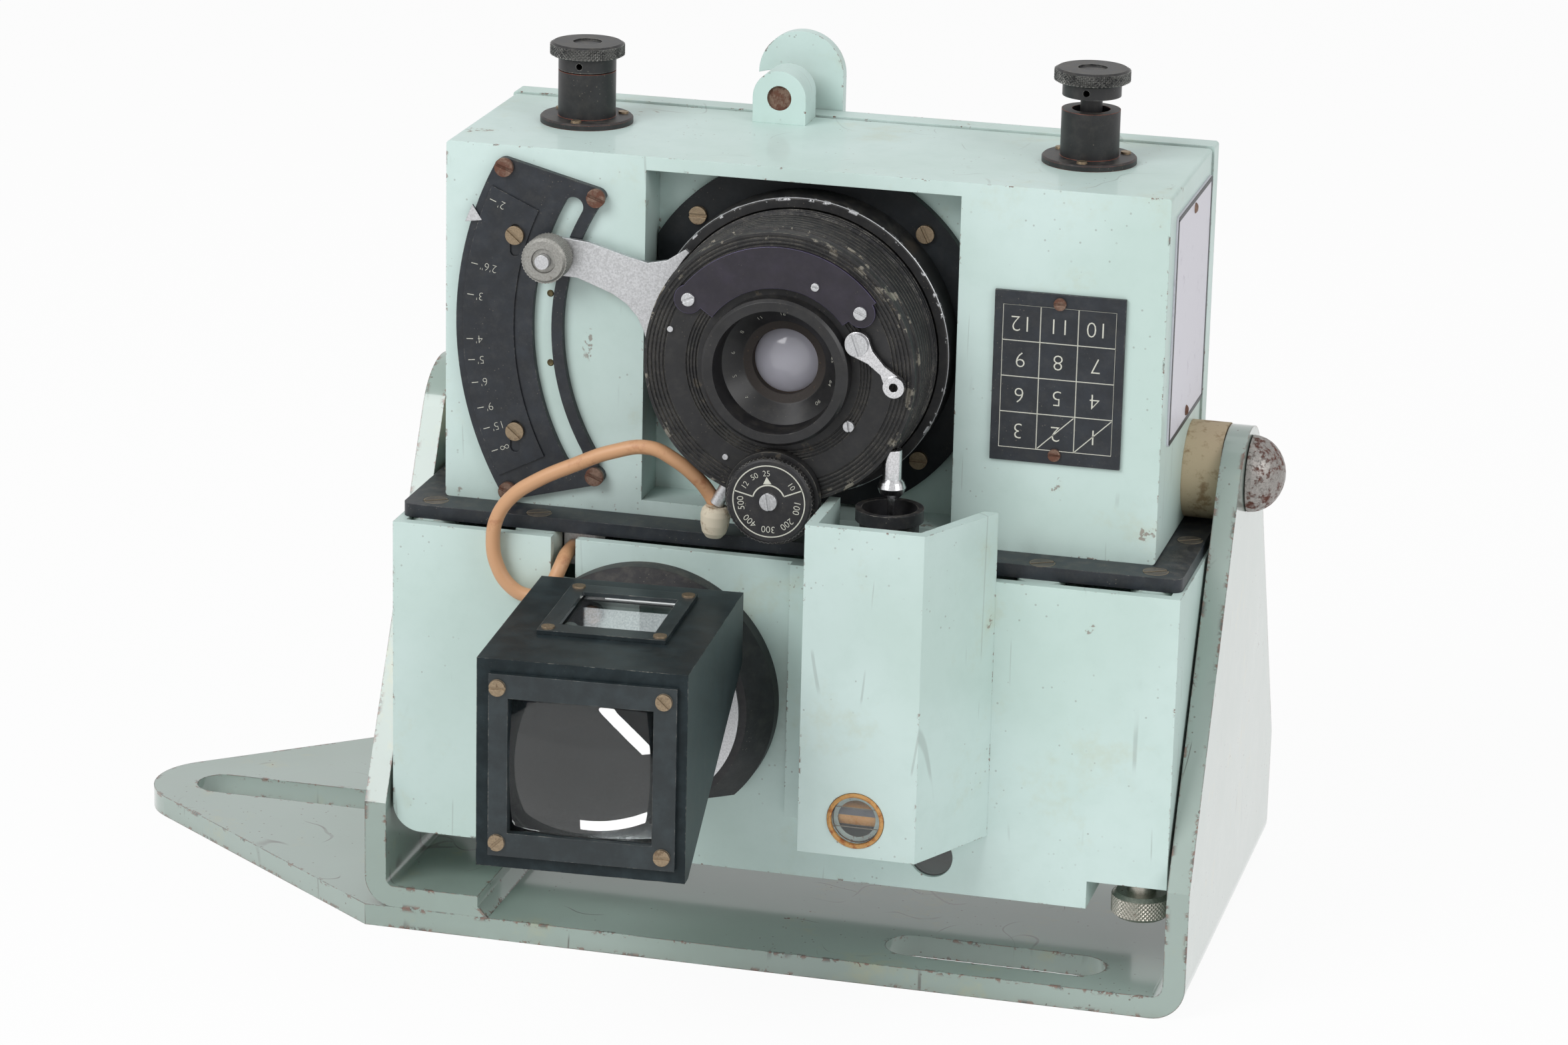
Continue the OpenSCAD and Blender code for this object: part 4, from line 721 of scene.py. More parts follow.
def lug_stud(board: Board) -> Signal:
    """Gives 1 on the latch's stud and 0 on the lug that holds it."""
    behind = board.axis("Y").between(LATCH_LUG_BACK * MM, (LATCH_LUG_BACK + 0.1) * MM)
    return board.within(LATCH_STUD, LATCH_STUD_R, FROM_FRONT, 0.05).greater(behind)


def teeth_plate(board: Board) -> Signal:
    """Gives 1 on the silver plate in front of the finder's base."""
    return 1.0 - board.axis("Y").between((TEETH_PLATE_Y - 0.05) * MM, (TEETH_PLATE_Y + 0.05) * MM)


def scale_pointer(board: Board) -> Signal:
    """Gives 1 on the small silver triangle at the scale's left edge."""
    return board.ahead(POINTER_FRONT)


def worn_rim(board: Board) -> Signal:
    """Gives 1 where the paint is gone from the shutter's front rim.

    Args:
        board: the node tree to work on.

    Returns:
        The values over the surface.
    """
    patches = board.noise(4.5, 5.0, 0.66).between(0.565, 0.595)
    rim = board.ring(*CASE_RIM, 0.9) * board.ahead(CASE_RIM_FRONT)
    hub = board.ring(*CASE_HUB, 0.3) * board.noise(3.0, 4.0, 0.6).between(0.6, 0.66)
    return (rim * patches).greater(hub * board.ahead(CASE_HUB_FRONT) * 0.6)


def focus_edge(board: Board) -> Signal:
    """Gives 1 on the bright worn edge of the focus ring.

    Args:
        board: the node tree to work on.

    Returns:
        The values over the surface.
    """
    nibbled = board.noise(4.0, 4.0, 0.6).between(0.56, 0.6)
    line = board.ring(*RING_EDGE) * board.ahead(RING_EDGE_FRONT)
    return line.greater(board.ring(*RING_NIBBLES) * board.ahead(RING_NIBBLES_FRONT) * nibbled)


def cell_throat(board: Board) -> Signal:
    """Gives 1 on the gritty ring round the front glass."""
    return 1.0 - board.ring(FRONT_GLASS_R, 60.0, 0.2)


def flange_screws(board: Board) -> Signal:
    """Gives 1 on the screws of the lens flange."""
    return 1.0 - board.ring(FLANGE_R, 200.0)


def bush_screws(board: Board) -> Signal:
    """Gives 1 on the three screws of each knob bush.

    Args:
        board: the node tree to work on.

    Returns:
        The values over the surface.
    """
    places = []
    for side in (-1.0, 1.0):
        for angle in BUSH_SCREW_TURNS:
            reach = KNOB_AT[0] + BUSH_SCREWS_R * math.cos(math.radians(angle))
            places.append((side * reach, KNOB_AT[1] + BUSH_SCREWS_R * math.sin(math.radians(angle)), 0.0))
    return board.spots(places, BUSH_HEAD_R, FROM_ABOVE)


def brass_heads(board: Board) -> Signal:
    """Gives 1 on the two screws that hold the distance band."""
    return board.spots(BAND_SCREWS, BAND_HEAD_R, FROM_FRONT)


def vial_grey(board: Board) -> Signal:
    """Gives 1 on the two grey fields of the level's vial.

    Args:
        board: the node tree to work on.

    Returns:
        The values over the surface.
    """
    rise = board.axis("Z") - LEVEL_AT[2] * MM
    above, below, low = [rise.between((at - 0.05) * MM, (at + 0.05) * MM) for at in (*VIAL_FIELD, VIAL_LOW)]
    return (above * (1.0 - below)).greater(1.0 - low)


NODE_FINISHES = {
    "finder_frames": Patched("frame_black", FINDER_BLACK, BRASS, finder_screws),
    "finder_body": FINDER_BLACK,
    "latch_lug": Patched("lug_and_stud", MINT, RUSTY, lug_stud),
    "finder_base": Patched("base_and_plate", BLACK_CASTING, STEEL, teeth_plate),
    "distance_scale": Patched("band_and_pointer", BLACK_PAINT, STEEL, scale_pointer),
    "plate_screws": Patched("plate_screw_heads", RUSTY, BRASS, brass_heads),
    "lens_glasses": MILKY,
    "shutter_case": Patched("worn_case", CASE_BLACK, CASE_ALLOY, worn_rim),
    "focus_ring": Patched("worn_ring", CASE_BLACK, STEEL, focus_edge),
    "blade_cover": VIOLET_BLACK,
    "front_cell": Patched("cell_black", CELL_BLACK, GRIT, cell_throat),
    "housing_screws": Patched("housing_screw_heads", SCREW_BLACK, BRASS, flange_screws),
    "knob_bushes": Patched("bush_black", BUSH_BLACK, BRASS, bush_screws),
    "lens_flange": FLANGE_BLACK,
    "level_vial": Patched("vial_fields", AMBER, VIAL_GREY, vial_grey),
    "clamp_knob": SATIN,
    "trip_rod": CHROME,
    "left_knob": RIM_BLACK,
    "right_knob": RIM_BLACK,
}


MARK_THICK = 0.06
CAP_SHARE = 0.72
SMOOTH_UNDER = 30.0
KNURL_WALL = 0.5
TOOTH_WALL = 0.4
QUARTER = Matrix.Rotation(math.radians(-90.0), 4, "Z")


class Shop:
    """Models pieces with Blender's operators and lays finishes on them."""

    def __init__(self) -> None:
        """Starts with no finish made."""
        self.made: dict[str, bpy.types.Material] = {}

    def material(self, finish: Finish) -> bpy.types.Material:
        """Gives a finish's material, made once.

        Args:
            finish: the finish.

        Returns:
            The material.
        """
        if finish.name not in self.made:
            self.made[finish.name] = finish.build()
        return self.made[finish.name]

    def dress(self, node: Piece, finish: Finish) -> None:
        """Puts a finish on a CAD node."""
        for slot in node.material_slots:
            slot.material = self.material(finish)

    def rest(self) -> None:
        """Leaves edit mode and deselects everything."""
        if bpy.context.object and bpy.context.object.mode != "OBJECT":
            bpy.ops.object.mode_set(mode="OBJECT")
        bpy.ops.object.select_all(action="DESELECT")

    def hold(self, piece: Piece) -> None:
        """Makes a piece the one that operators act on.

        Args:
            piece: the piece.
        """
        self.rest()
        piece.select_set(True)
        bpy.context.view_layer.objects.active = piece

    def open(self, piece: Piece, whole: bool = True) -> None:
        """Opens a piece in edit mode with all of it selected, or none.

        Args:
            piece: the piece.
            whole: whether all of it is selected.
        """
        self.hold(piece)
        bpy.ops.object.mode_set(mode="EDIT")
        bpy.ops.mesh.select_mode(type="VERT")
        bpy.ops.mesh.select_all(action="SELECT" if whole else "DESELECT")

    def start_point(self, at: Point) -> Piece:
        """Starts a piece as one point, in millimetres, open in edit mode.

        Args:
            at: the point.

        Returns:
            The piece.
        """
        self.rest()
        bpy.ops.mesh.primitive_plane_add(size=MM)
        piece = bpy.context.object
        self.open(piece)
        bpy.ops.mesh.merge(type="CENTER")
        bpy.ops.transform.translate(value=Vector(at) * MM)
        return piece

    def close(self, piece: Piece) -> Piece:
        """Merges doubles, turns faces outwards, leaves edit mode and shades the piece smooth.

        Args:
            piece: the piece.

        Returns:
            The piece.
        """
        bpy.ops.mesh.select_all(action="SELECT")
        bpy.ops.mesh.remove_doubles(threshold=DOUBLES_MM * MM)
        bpy.ops.mesh.normals_make_consistent(inside=False)
        bpy.ops.object.mode_set(mode="OBJECT")
        bpy.ops.object.shade_smooth_by_angle(angle=math.radians(SMOOTH_UNDER))
        return piece

    def spin(self, steps: int, angle: float) -> None:
        """Spins what is open round local Z, through an angle in degrees."""
        bpy.ops.mesh.select_all(action="SELECT")
        bpy.ops.mesh.spin(steps=steps, angle=math.radians(angle), center=ORIGIN, axis=(0.0, 0.0, 1.0))

    def thicken(self, thick: float) -> None:
        """Pulls the open face up by a thickness in millimetres."""
        bpy.ops.mesh.extrude_region_move(TRANSFORM_OT_translate={"value": (0.0, 0.0, thick * MM)})

    def turned(self, profile: Sequence[tuple[float, float]], sides: int) -> Piece:
        """Spins a profile once round local Z.

        Args:
            profile: (radius, height) points in millimetres; a closed one repeats its first point.
            sides: steps round the turn.

        Returns:
            The piece, in object mode.
        """
        piece = self.start_point((profile[0][0], 0.0, profile[0][1]))
        for (r0, z0), (r1, z1) in zip(profile, profile[1:]):
            step = (Vector((r1, 0.0, z1)) - Vector((r0, 0.0, z0))) * MM
            bpy.ops.mesh.extrude_vertices_move(TRANSFORM_OT_translate={"value": step})
        self.spin(sides, 360.0)
        return self.close(piece)

    def arc(self, radius: float, width: float, start: float, end: float) -> Piece:
        """Makes a flat line of a radius and a width, bent round local Z between two angles.

        Args:
            radius: the middle radius in millimetres.
            width: the width in millimetres.
            start: the angle that it starts at, in degrees.
            end: the angle that it ends at.

        Returns:
            The piece.
        """
        piece = self.start_point((radius - width / 2.0, 0.0, 0.0))
        bpy.ops.mesh.extrude_vertices_move(TRANSFORM_OT_translate={"value": (width * MM, 0.0, 0.0)})
        self.spin(max(3, int(abs(end - start) / 6.0)), end - start)
        bpy.ops.mesh.select_all(action="SELECT")
        bpy.ops.mesh.remove_doubles(threshold=DOUBLES_MM * MM)
        self.thicken(MARK_THICK)
        self.close(piece)
        return self.moved(piece, Matrix.Rotation(math.radians(end), 4, "Z"))

    def bar(self, start: tuple[float, float], end: tuple[float, float], width: float,
            thick: float = MARK_THICK) -> Piece:
        """Makes a flat bar between two points of the working plane, in millimetres.

        Args:
            start: its first end.
            end: its last end.
            width: the width in millimetres.
            thick: its thickness in millimetres.

        Returns:
            The piece.
        """
        run = Vector(end) - Vector(start)
        self.rest()
        bpy.ops.mesh.primitive_plane_add(size=MM)
        piece = bpy.context.object
        self.open(piece)
        bpy.ops.transform.resize(value=(run.length, width, 1.0))
        self.thicken(thick)
        self.close(piece)
        middle = (Vector(start) + Vector(end)) * 0.5 * MM
        spin = Matrix.Rotation(math.atan2(run.y, run.x), 4, "Z")
        return self.moved(piece, Matrix.Translation((middle.x, middle.y, 0.0)) @ spin)

    def lettered(self, words: str, height: float, thin: float, thick: float = MARK_THICK,
                 align: Align = Align.CENTRE) -> Piece:
        """Makes thin raised numbers.

        Args:
            words: the numbers.
            height: their height in millimetres.
            thin: how much their strokes are thinned.
            thick: half of their thickness.
            align: how they stand on the origin.

        Returns:
            The numbers, a mesh.
        """
        self.rest()
        bpy.ops.object.text_add()
        piece = bpy.context.object
        piece.data.body = words
        piece.data.size = height * MM / CAP_SHARE
        piece.data.align_x = align.value
        piece.data.align_y = "CENTER"
        piece.data.extrude = thick * MM
        piece.data.offset = -thin * MM
        piece.data.resolution_u = 3
        bpy.ops.object.convert(target="MESH")
        self.open(piece)
        return self.close(piece)

    def moved(self, piece: Piece, place: Matrix) -> Piece:
        """Moves a piece and puts its place in its mesh.

        Args:
            piece: the piece.
            place: the matrix that carries it to its place.

        Returns:
            The piece.
        """
        self.hold(piece)
        piece.matrix_world = place
        bpy.ops.object.transform_apply(location=True, rotation=True, scale=True)
        return piece

    def joined(self, pieces: Sequence[Piece]) -> Piece:
        """Joins pieces into the first.

        Args:
            pieces: the pieces.

        Returns:
            The piece.
        """
        self.rest()
        for piece in pieces:
            piece.select_set(True)
        bpy.context.view_layer.objects.active = pieces[0]
        bpy.ops.object.join()
        return pieces[0]

    def copies(self, piece: Piece, places: Sequence[Matrix]) -> list[Piece]:
        """Gives one of a piece at each place, each with its own mesh.

        Args:
            piece: the piece.
            places: a matrix for each of them.

        Returns:
            The pieces, the first of them the one that was given.
        """
        made = [piece]
        for _ in places[1:]:
            self.hold(piece)
            bpy.ops.object.duplicate()
            made.append(bpy.context.object)
        return [self.moved(one, place) for one, place in zip(made, places)]

    def finished(self, piece: Piece, name: str, finish: Finish, slot: str, body: str,
                 *replaced: str) -> Piece:
        """Names a piece, lays its finish and hands it to its body.

        Args:
            piece: the piece, with its place in its mesh.
            name: its name.
            finish: its finish.
            slot: the record's material slot; not used.
            body: the body it rides on.
            replaced: CAD nodes that it stands for.

        Returns:
            The piece.
        """
        piece.name = name
        piece.data.name = name
        piece.data.materials.clear()
        piece.data.materials.append(self.material(finish))
        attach(piece, body)
        if replaced:
            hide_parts(*replaced)
        LOG.info("%s on %s in %s", name, body, finish.name)
        return piece

    def notched(self, radius: float, low: float, high: float, sides: int, depth: float,
                rows: int = 0) -> Piece:
        """Makes a band of straight teeth or of diamond knurling round local Z.

        Args:
            radius: the band's radius in millimetres.
            low: its lower end along local Z.
            high: its upper end.
            sides: half teeth or half diamonds round the band, an even number.
            depth: height of each tooth or diamond.
            rows: half diamonds along it, or 0 for teeth.

        Returns:
            The band, a closed ring that sits on the knob's own rim.
        """
        inner = radius - (KNURL_WALL if rows else depth + TOOTH_WALL)
        spans = max(rows, 1)
        outer = [(radius, low + (high - low) * row / spans) for row in range(spans + 1)]
        band = self.turned([(inner, low), *outer, (inner, high), (inner, low)], sides)
        self.open(band, whole=False)
        bpy.ops.object.mode_set(mode="OBJECT")
        for vertex in band.data.vertices:
            sector = round(math.atan2(vertex.co.y, vertex.co.x) / math.tau * sides)
            row = round((vertex.co.z / MM - low) / (high - low) * rows)
            vertex.select = vertex.co.xy.length > (inner + 0.1) * MM and (sector + row) % 2 == 1
        bpy.ops.object.mode_set(mode="EDIT")
        bpy.ops.mesh.select_mode(type="VERT")
        ratio = (radius - depth) / radius
        bpy.ops.transform.resize(value=(ratio, ratio, 1.0), center_override=ORIGIN)
        if rows:
            bpy.ops.mesh.select_all(action="SELECT")
            bpy.ops.mesh.quads_convert_to_tris(quad_method="SHORTEST_DIAGONAL")
        bpy.ops.object.mode_set(mode="OBJECT")
        bpy.ops.object.shade_flat()
        return band


@dataclass
class Camera:
    """The viewpoint of the photograph, in metres of the object's frame."""

    at: Point = (0.3186, -1.3296, 0.5393)
    right: Point = (0.9679, 0.2502, 0.0224)
    up: Point = (-0.0957, 0.285, 0.9537)
    back: Point = (0.2323, -0.9253, 0.2998)
    lens_mm: float = 116.4
    sensor_mm: float = 36.0

    def build(self) -> None:
        """Makes the camera."""
        bpy.ops.object.camera_add()
        camera = bpy.context.object
        turn = Matrix((self.right, self.up, self.back)).transposed().to_4x4()
        camera.matrix_world = Matrix.Translation(self.at) @ turn
        camera.data.lens = self.lens_mm
        camera.data.sensor_width = self.sensor_mm
        bpy.context.scene.camera = camera


AIMED_AT = (0.0, -0.02, 0.12)


@dataclass(frozen=True)
class SoftBox:
    """A square soft box that looks at the object, in metres and watts."""

    name: str
    at: Point
    size: float
    power: float

    def build(self) -> None:
        """Hangs the box."""
        bpy.ops.object.light_add(type="AREA", location=self.at)
        box = bpy.context.object
        box.name = self.name
        box.data.size = self.size
        box.data.energy = self.power
        aim = Vector(AIMED_AT) - Vector(self.at)
        box.rotation_euler = aim.to_track_quat("-Z", "Y").to_euler()


@dataclass(frozen=True)
class Glint:
    """A strip of light that only the finder's glass mirrors, in metres and watts."""

    name: str
    mirrored_at: Point
    away: Point
    along: Point
    distance: float
    size: tuple[float, float]
    power: float

    def build(self, glass: Piece) -> None:
        """Hangs the strip and lets it light this glass alone.

        Args:
            glass: the finder's glass.
        """
        bpy.ops.object.light_add(type="AREA")
        strip = bpy.context.object
        strip.name = self.name
        strip.data.shape = "RECTANGLE"
        strip.data.size, strip.data.size_y = self.size
        strip.data.energy = self.power
        back = Vector(self.away).normalized()
        side = (Vector(self.along) - back * back.dot(Vector(self.along))).normalized()
        turn = Matrix((side, back.cross(side), back)).transposed().to_4x4()
        strip.matrix_world = Matrix.Translation(Vector(self.mirrored_at) + back * self.distance) @ turn
        strip.visible_camera = False
        lit = bpy.data.collections.new(self.name)
        lit.objects.link(glass)
        strip.light_linking.receiver_collection = lit


@dataclass
class Studio:
    """A white room: a pale floor, soft boxes and an even white world."""

    floor_size: float = 8.0
    floor_tones: tuple[Colour, Colour] = ((0.86, 0.87, 0.87), (0.9, 0.9, 0.9))
    floor_glow: float = 0.94
    world: float = 0.57
    boxes: tuple[SoftBox, ...] = (
        SoftBox("key_box", (-0.75, -1.2, 1.2), 0.9, 15.0),
        SoftBox("side_box", (1.3, -0.7, 0.9), 0.8, 6.0),
        SoftBox("top_box", (0.1, 0.4, 1.6), 1.0, 1.5))
    glints: tuple[Glint, ...] = (
        Glint("upper_glint", (-0.014, -0.149, 0.096), (0.37, -0.91, 0.19), (0.74, 0.0, -0.67),
              1.0, (0.85, 0.14), 9.0),
        Glint("lower_glint", (-0.019, -0.150, 0.072), (0.17, -0.53, -0.83), (0.98, 0.1, 0.1),
              0.075, (0.075, 0.013), 0.07))

    def build(self, shop: Shop, glass: Piece) -> None:
        """Makes the floor, the soft boxes, the world and the two glints in the finder's glass.

        Args:
            shop: the shop that models and finishes the pieces.
            glass: the finder's glass.
        """
        bpy.context.scene.view_settings.view_transform = "Standard"
        self.lay_floor(shop)
        for box in self.boxes:
            box.build()
        self.light_world()
        for glint in self.glints:
            glint.build(glass)

    def lay_floor(self, shop: Shop) -> None:
        """Lays a floor that is white to the camera, to mirrors and through glass, and keeps its shadow.

        Args:
            shop: the shop that models and finishes the pieces.
        """
        shop.rest()
        bpy.ops.mesh.primitive_grid_add(size=self.floor_size, x_subdivisions=8, y_subdivisions=8)
        floor = bpy.context.object
        floor.name = "studio_floor"
        board = Board(bpy.data.materials.new("studio_floor"))
        tone = board.mix(board.noise(900.0, 2.0), *self.floor_tones)
        diffuse = board.node("ShaderNodeBsdfDiffuse", {}, {"Color": tone})
        white = board.node("ShaderNodeEmission", {}, {"Color": (1.0, 1.0, 1.0, 1.0), "Strength": 1.0})
        shares = {0: board.seen() * self.floor_glow, 1: diffuse, 2: white}
        board.lead_out(board.node("ShaderNodeMixShader", {}, shares))
        floor.data.materials.append(board.owner)

    def light_world(self) -> None:
        """Makes an even world that is pure white to the camera, to mirrors and through glass."""
        board = Board(bpy.data.worlds.new("white_room"))
        bpy.context.scene.world = board.owner
        levels = {"Value": board.seen(), "To Min": self.world, "To Max": 1.0}
        strength = board.node("ShaderNodeMapRange", {}, levels)
        shell = board.node("ShaderNodeBackground", {}, {"Strength": strength})
        board.lead_out(shell, "ShaderNodeOutputWorld")


@dataclass
class DistanceScale:
    """The band of feet marks round the lens and its knurled clamp."""

    face: float = 51.0
    marks: tuple[tuple[str, float], ...] = (
        ("2'", 158.2), ("2'6\"", 169.9), ("3'", 175.4), ("4'", 183.2), ("5'", 186.9), ("6'", 190.9),
        ("9'", 195.4), ("15'", 199.1), ("\u221e", 203.2))
    label_high: float = 2.35
    label_r: float = 90.9
    tick_from: float = 91.5
    tick_to: float = 93.4
    tick_wide: float = 0.22
    clamp_at: Point = (-68.79, 0.0, 194.9)
    clamp_r: float = 6.46
    clamp_ends: tuple[float, float] = (53.5, 59.3)
    pins: tuple[Point, ...] = ((-70.1, -48.5, 183.0), (-69.9, -48.5, 163.4))
    pin_profile: tuple[tuple[float, float], ...] = (
        (0.0, 0.1), (0.5, 0.1), (0.7, 0.25), (0.9, 0.1), (1.0, 0.0), (0.0, 0.0))

    def build(self, shop: Shop) -> None:
        """Engraves the marks and knurls the clamp.

        Args:
            shop: the shop that models and finishes the pieces.
        """
        turns = [Matrix.Rotation(math.radians(angle), 4, "Z") for _, angle in self.marks]
        shift = Matrix.Translation((self.label_r * MM, 0.0, 0.0))
        parts = []
        for (words, _), turn in zip(self.marks, turns):
            label = shop.lettered(words, self.label_high, thin=0.07, align=Align.RIGHT)
            parts.append(shop.moved(label, turn @ shift))
        tick = shop.bar((self.tick_from, 0.0), (self.tick_to, 0.0), self.tick_wide)
        parts.extend(shop.copies(tick, turns))
        marks = shop.moved(shop.joined(parts), placed((0.0, -self.face, LENS_AXIS[2])))
        shop.finished(marks, "distance_marks", ENGRAVED, "ivory", "camera")
        pins = shop.copies(shop.turned(self.pin_profile, 20), [placed(at) for at in self.pins])
        for number, pin in enumerate(pins, 1):
            shop.finished(pin, f"slot_pin_{number}", DULL_BRASS, "aged_brass", "camera")
        grip = shop.notched(self.clamp_r, *self.clamp_ends, sides=84, depth=0.24, rows=12)
        grip = shop.moved(grip, placed(self.clamp_at))
        shop.finished(grip, "clamp_knurling", SATIN, "bright_steel", "clamp")


@dataclass
class NumberPlate:
    """The plate of numbered boxes, mounted upside down."""

    columns: int = 3
    rows: int = 4
    at: Point = (71.5, -49.5, 171.8)
    width: float = 30.8
    height: float = 39.6
    numeral: float = 4.5
    line: float = 0.3
    stroke: float = 0.28
    margin: float = 0.3

    def build(self, shop: Shop) -> None:
        """Engraves the grid, the numbers and the two strokes through 1 and 2.

        Args:
            shop: the shop that models and finishes the pieces.
        """
        shop.rest()
        bpy.ops.mesh.primitive_grid_add(x_subdivisions=self.columns, y_subdivisions=self.rows, size=MM)
        grid = bpy.context.object
        shop.open(grid)
        bpy.ops.transform.resize(value=(self.width, self.height, 1.0))
        bpy.ops.object.mode_set(mode="OBJECT")
        wires = grid.modifiers.new("lines", "WIREFRAME")
        wires.thickness = self.line * MM
        bpy.ops.object.modifier_apply(modifier=wires.name)
        parts = [grid]
        box_w = self.width / self.columns
        box_h = self.height / self.rows
        for number in range(self.columns * self.rows):
            row, column = divmod(number, self.columns)
            right = ((self.columns - 1) / 2.0 - column) * box_w
            rise = (row - (self.rows - 1) / 2.0) * box_h
            numeral = shop.lettered(str(number + 1), self.numeral, thin=0.11)
            middle = Matrix.Translation((right * MM, rise * MM, 0.0))
            parts.append(shop.moved(numeral, middle @ Matrix.Rotation(math.pi, 4, "Z")))
        low = self.margin - self.height / 2.0
        high = box_h - self.margin - self.height / 2.0
        for place in (1, 2):
            left = self.width / 2.0 - place * box_w
            start = (left + self.margin, low)
            parts.append(shop.bar(start, (left + box_w - self.margin, high), self.stroke))
        marks = shop.moved(shop.joined(parts), placed(self.at))
        shop.finished(marks, "box_numbers", ENGRAVED, "ivory", "camera")


@dataclass
class SpeedDial:
    """The toothed dial of shutter speeds, with plain numbers."""

    at: Point = (-0.1, -77.2, 138.9)
    teeth_r: float = 12.0
    teeth_ends: tuple[float, float] = (-2.3, -0.35)
    teeth: int = 64
    circle: float = 9.9
    hub: float = 4.5
    label_r: float = 7.7
    circle_wide: float = 0.34
    hub_wide: float = 0.4
    end_wide: float = 0.36
    pointer_r: float = 1.35
    ends: tuple[float, float] = (23.0, 167.0)
    pointer_at: float = 96.0
    numbers: tuple[tuple[str, float, float], ...] = (
        ("12", 149.0, 1.6), ("50", 122.0, 1.6), ("25", 96.0, 1.6), ("10", 38.0, 1.6),
        ("100", -8.0, 1.9), ("200", -49.0, 1.9), ("300", -90.0, 1.9), ("400", -131.0, 1.9),
        ("500", -172.0, 1.9))

    def build(self, shop: Shop) -> None:
        """Makes the toothed rim and engraves the face.

        Args:
            shop: the shop that models and finishes the pieces.
        """
        rim = shop.notched(self.teeth_r, *self.teeth_ends, sides=2 * self.teeth, depth=0.38)
        shop.finished(shop.moved(rim, placed(self.at)), "dial_teeth", RIM_BLACK, "black_metal", "speed")
        circle = shop.arc(self.circle, self.circle_wide, 0.0, 360.0)
        parts = [circle, shop.arc(self.hub, self.hub_wide, *self.ends), self.pointer(shop)]
        for end in self.ends:
            way = Vector((math.cos(math.radians(end)), math.sin(math.radians(end))))
            parts.append(shop.bar(tuple(way * self.hub), tuple(way * self.circle), self.end_wide))
        shift = Matrix.Translation((self.label_r * MM, 0.0, 0.0))
        for words, angle, height in self.numbers:
            turn = Matrix.Rotation(math.radians(angle), 4, "Z")
            parts.append(shop.moved(shop.lettered(words, height, thin=0.02), turn @ shift @ QUARTER))
        face = shop.moved(shop.joined(parts), placed(self.at))
        shop.finished(face, "dial_marks", ENGRAVED, "ivory", "speed")

    def pointer(self, shop: Shop) -> Piece:
        """Makes the small triangle that points out from the hub.

        Args:
            shop: the shop that models and finishes the pieces.

        Returns:
            The piece.
        """
        shop.rest()
        bpy.ops.mesh.primitive_circle_add(vertices=3, radius=self.pointer_r * MM, fill_type="NGON")
        piece = bpy.context.object
        shop.open(piece)
        shop.thicken(MARK_THICK)
        shop.close(piece)
        turn = Matrix.Rotation(math.radians(self.pointer_at - 90.0), 4, "Z")
        return shop.moved(piece, turn @ Matrix.Translation((0.0, (self.hub + 1.0) * MM, 0.0)))


@dataclass
class LensNumbers:
    """Plain numbers round the funnel in front of the lens."""

    radius: float = 13.8
    forward: float = 66.05
    slope: float = 40.0
    words: tuple[str, ...] = ("4", "5", "6", "8", "11", "16", "22", "32", "45", "64", "90")
    start: float = 226.0
    step: float = 27.0
    numeral: float = 1.25

    def build(self, shop: Shop) -> None:
        """Engraves the numbers clockwise, their tops outward.

        Args:
            shop: the shop that models and finishes the pieces.
        """
        shift = Matrix.Translation((self.radius * MM, 0.0, 0.0))
        lean = Matrix.Rotation(math.radians(-self.slope), 4, "Y")
        parts = []
        for place, words in enumerate(self.words):
            turn = Matrix.Rotation(math.radians(self.start - self.step * place), 4, "Z")
            label = shop.lettered(words, self.numeral, thin=0.03, thick=0.04)
            parts.append(shop.moved(label, turn @ shift @ lean @ QUARTER))
        ring = shop.moved(shop.joined(parts), placed((0.0, -self.forward, LENS_AXIS[2])))
        shop.finished(ring, "lens_numbers", ENGRAVED, "ivory", "lens")


@dataclass
class SidePlate:
    """The black border and the two rivets of the bare plate on the housing's side."""

    x: float = 100.6
    back: float = 12.2
    front: float = -40.0
    low: float = 153.0
    high: float = 216.5
    border: float = 1.3
    inset: float = 0.8
    rivet_in: float = 2.6
    rivet_profile: tuple[tuple[float, float], ...] = (
        (0.0, 0.75), (0.8, 0.65), (1.35, 0.3), (1.5, 0.0), (0.0, 0.0))

    def build(self, shop: Shop) -> None:
        """Lays the border and sets the rivets.

        Args:
            shop: the shop that models and finishes the pieces.
        """
        middle = ((self.back + self.front) / 2.0, (self.low + self.high) / 2.0)
        wide = (self.back - self.front) / 2.0 - self.inset
        high = (self.high - self.low) / 2.0 - self.inset
        corners = [(-wide, -high), (wide, -high), (wide, high), (-wide, high)]
        sides = zip(corners, corners[1:] + corners[:1])
        bars = [shop.bar(first, last, self.border, thick=0.1) for first, last in sides]
        border = shop.moved(shop.joined(bars), placed((self.x, *middle), yaw=90.0))
        shop.finished(border, "side_plate_border", BLACK_PAINT, "black_paint", "camera")
        rises = (self.rivet_in - high, high - self.rivet_in)
        places = [placed((self.x, middle[0], middle[1] + rise), yaw=90.0) for rise in rises]
        for number, rivet in enumerate(shop.copies(shop.turned(self.rivet_profile, 24), places), 1):
            shop.finished(rivet, f"side_rivet_{number}", RUSTY, "rusty_steel", "camera")


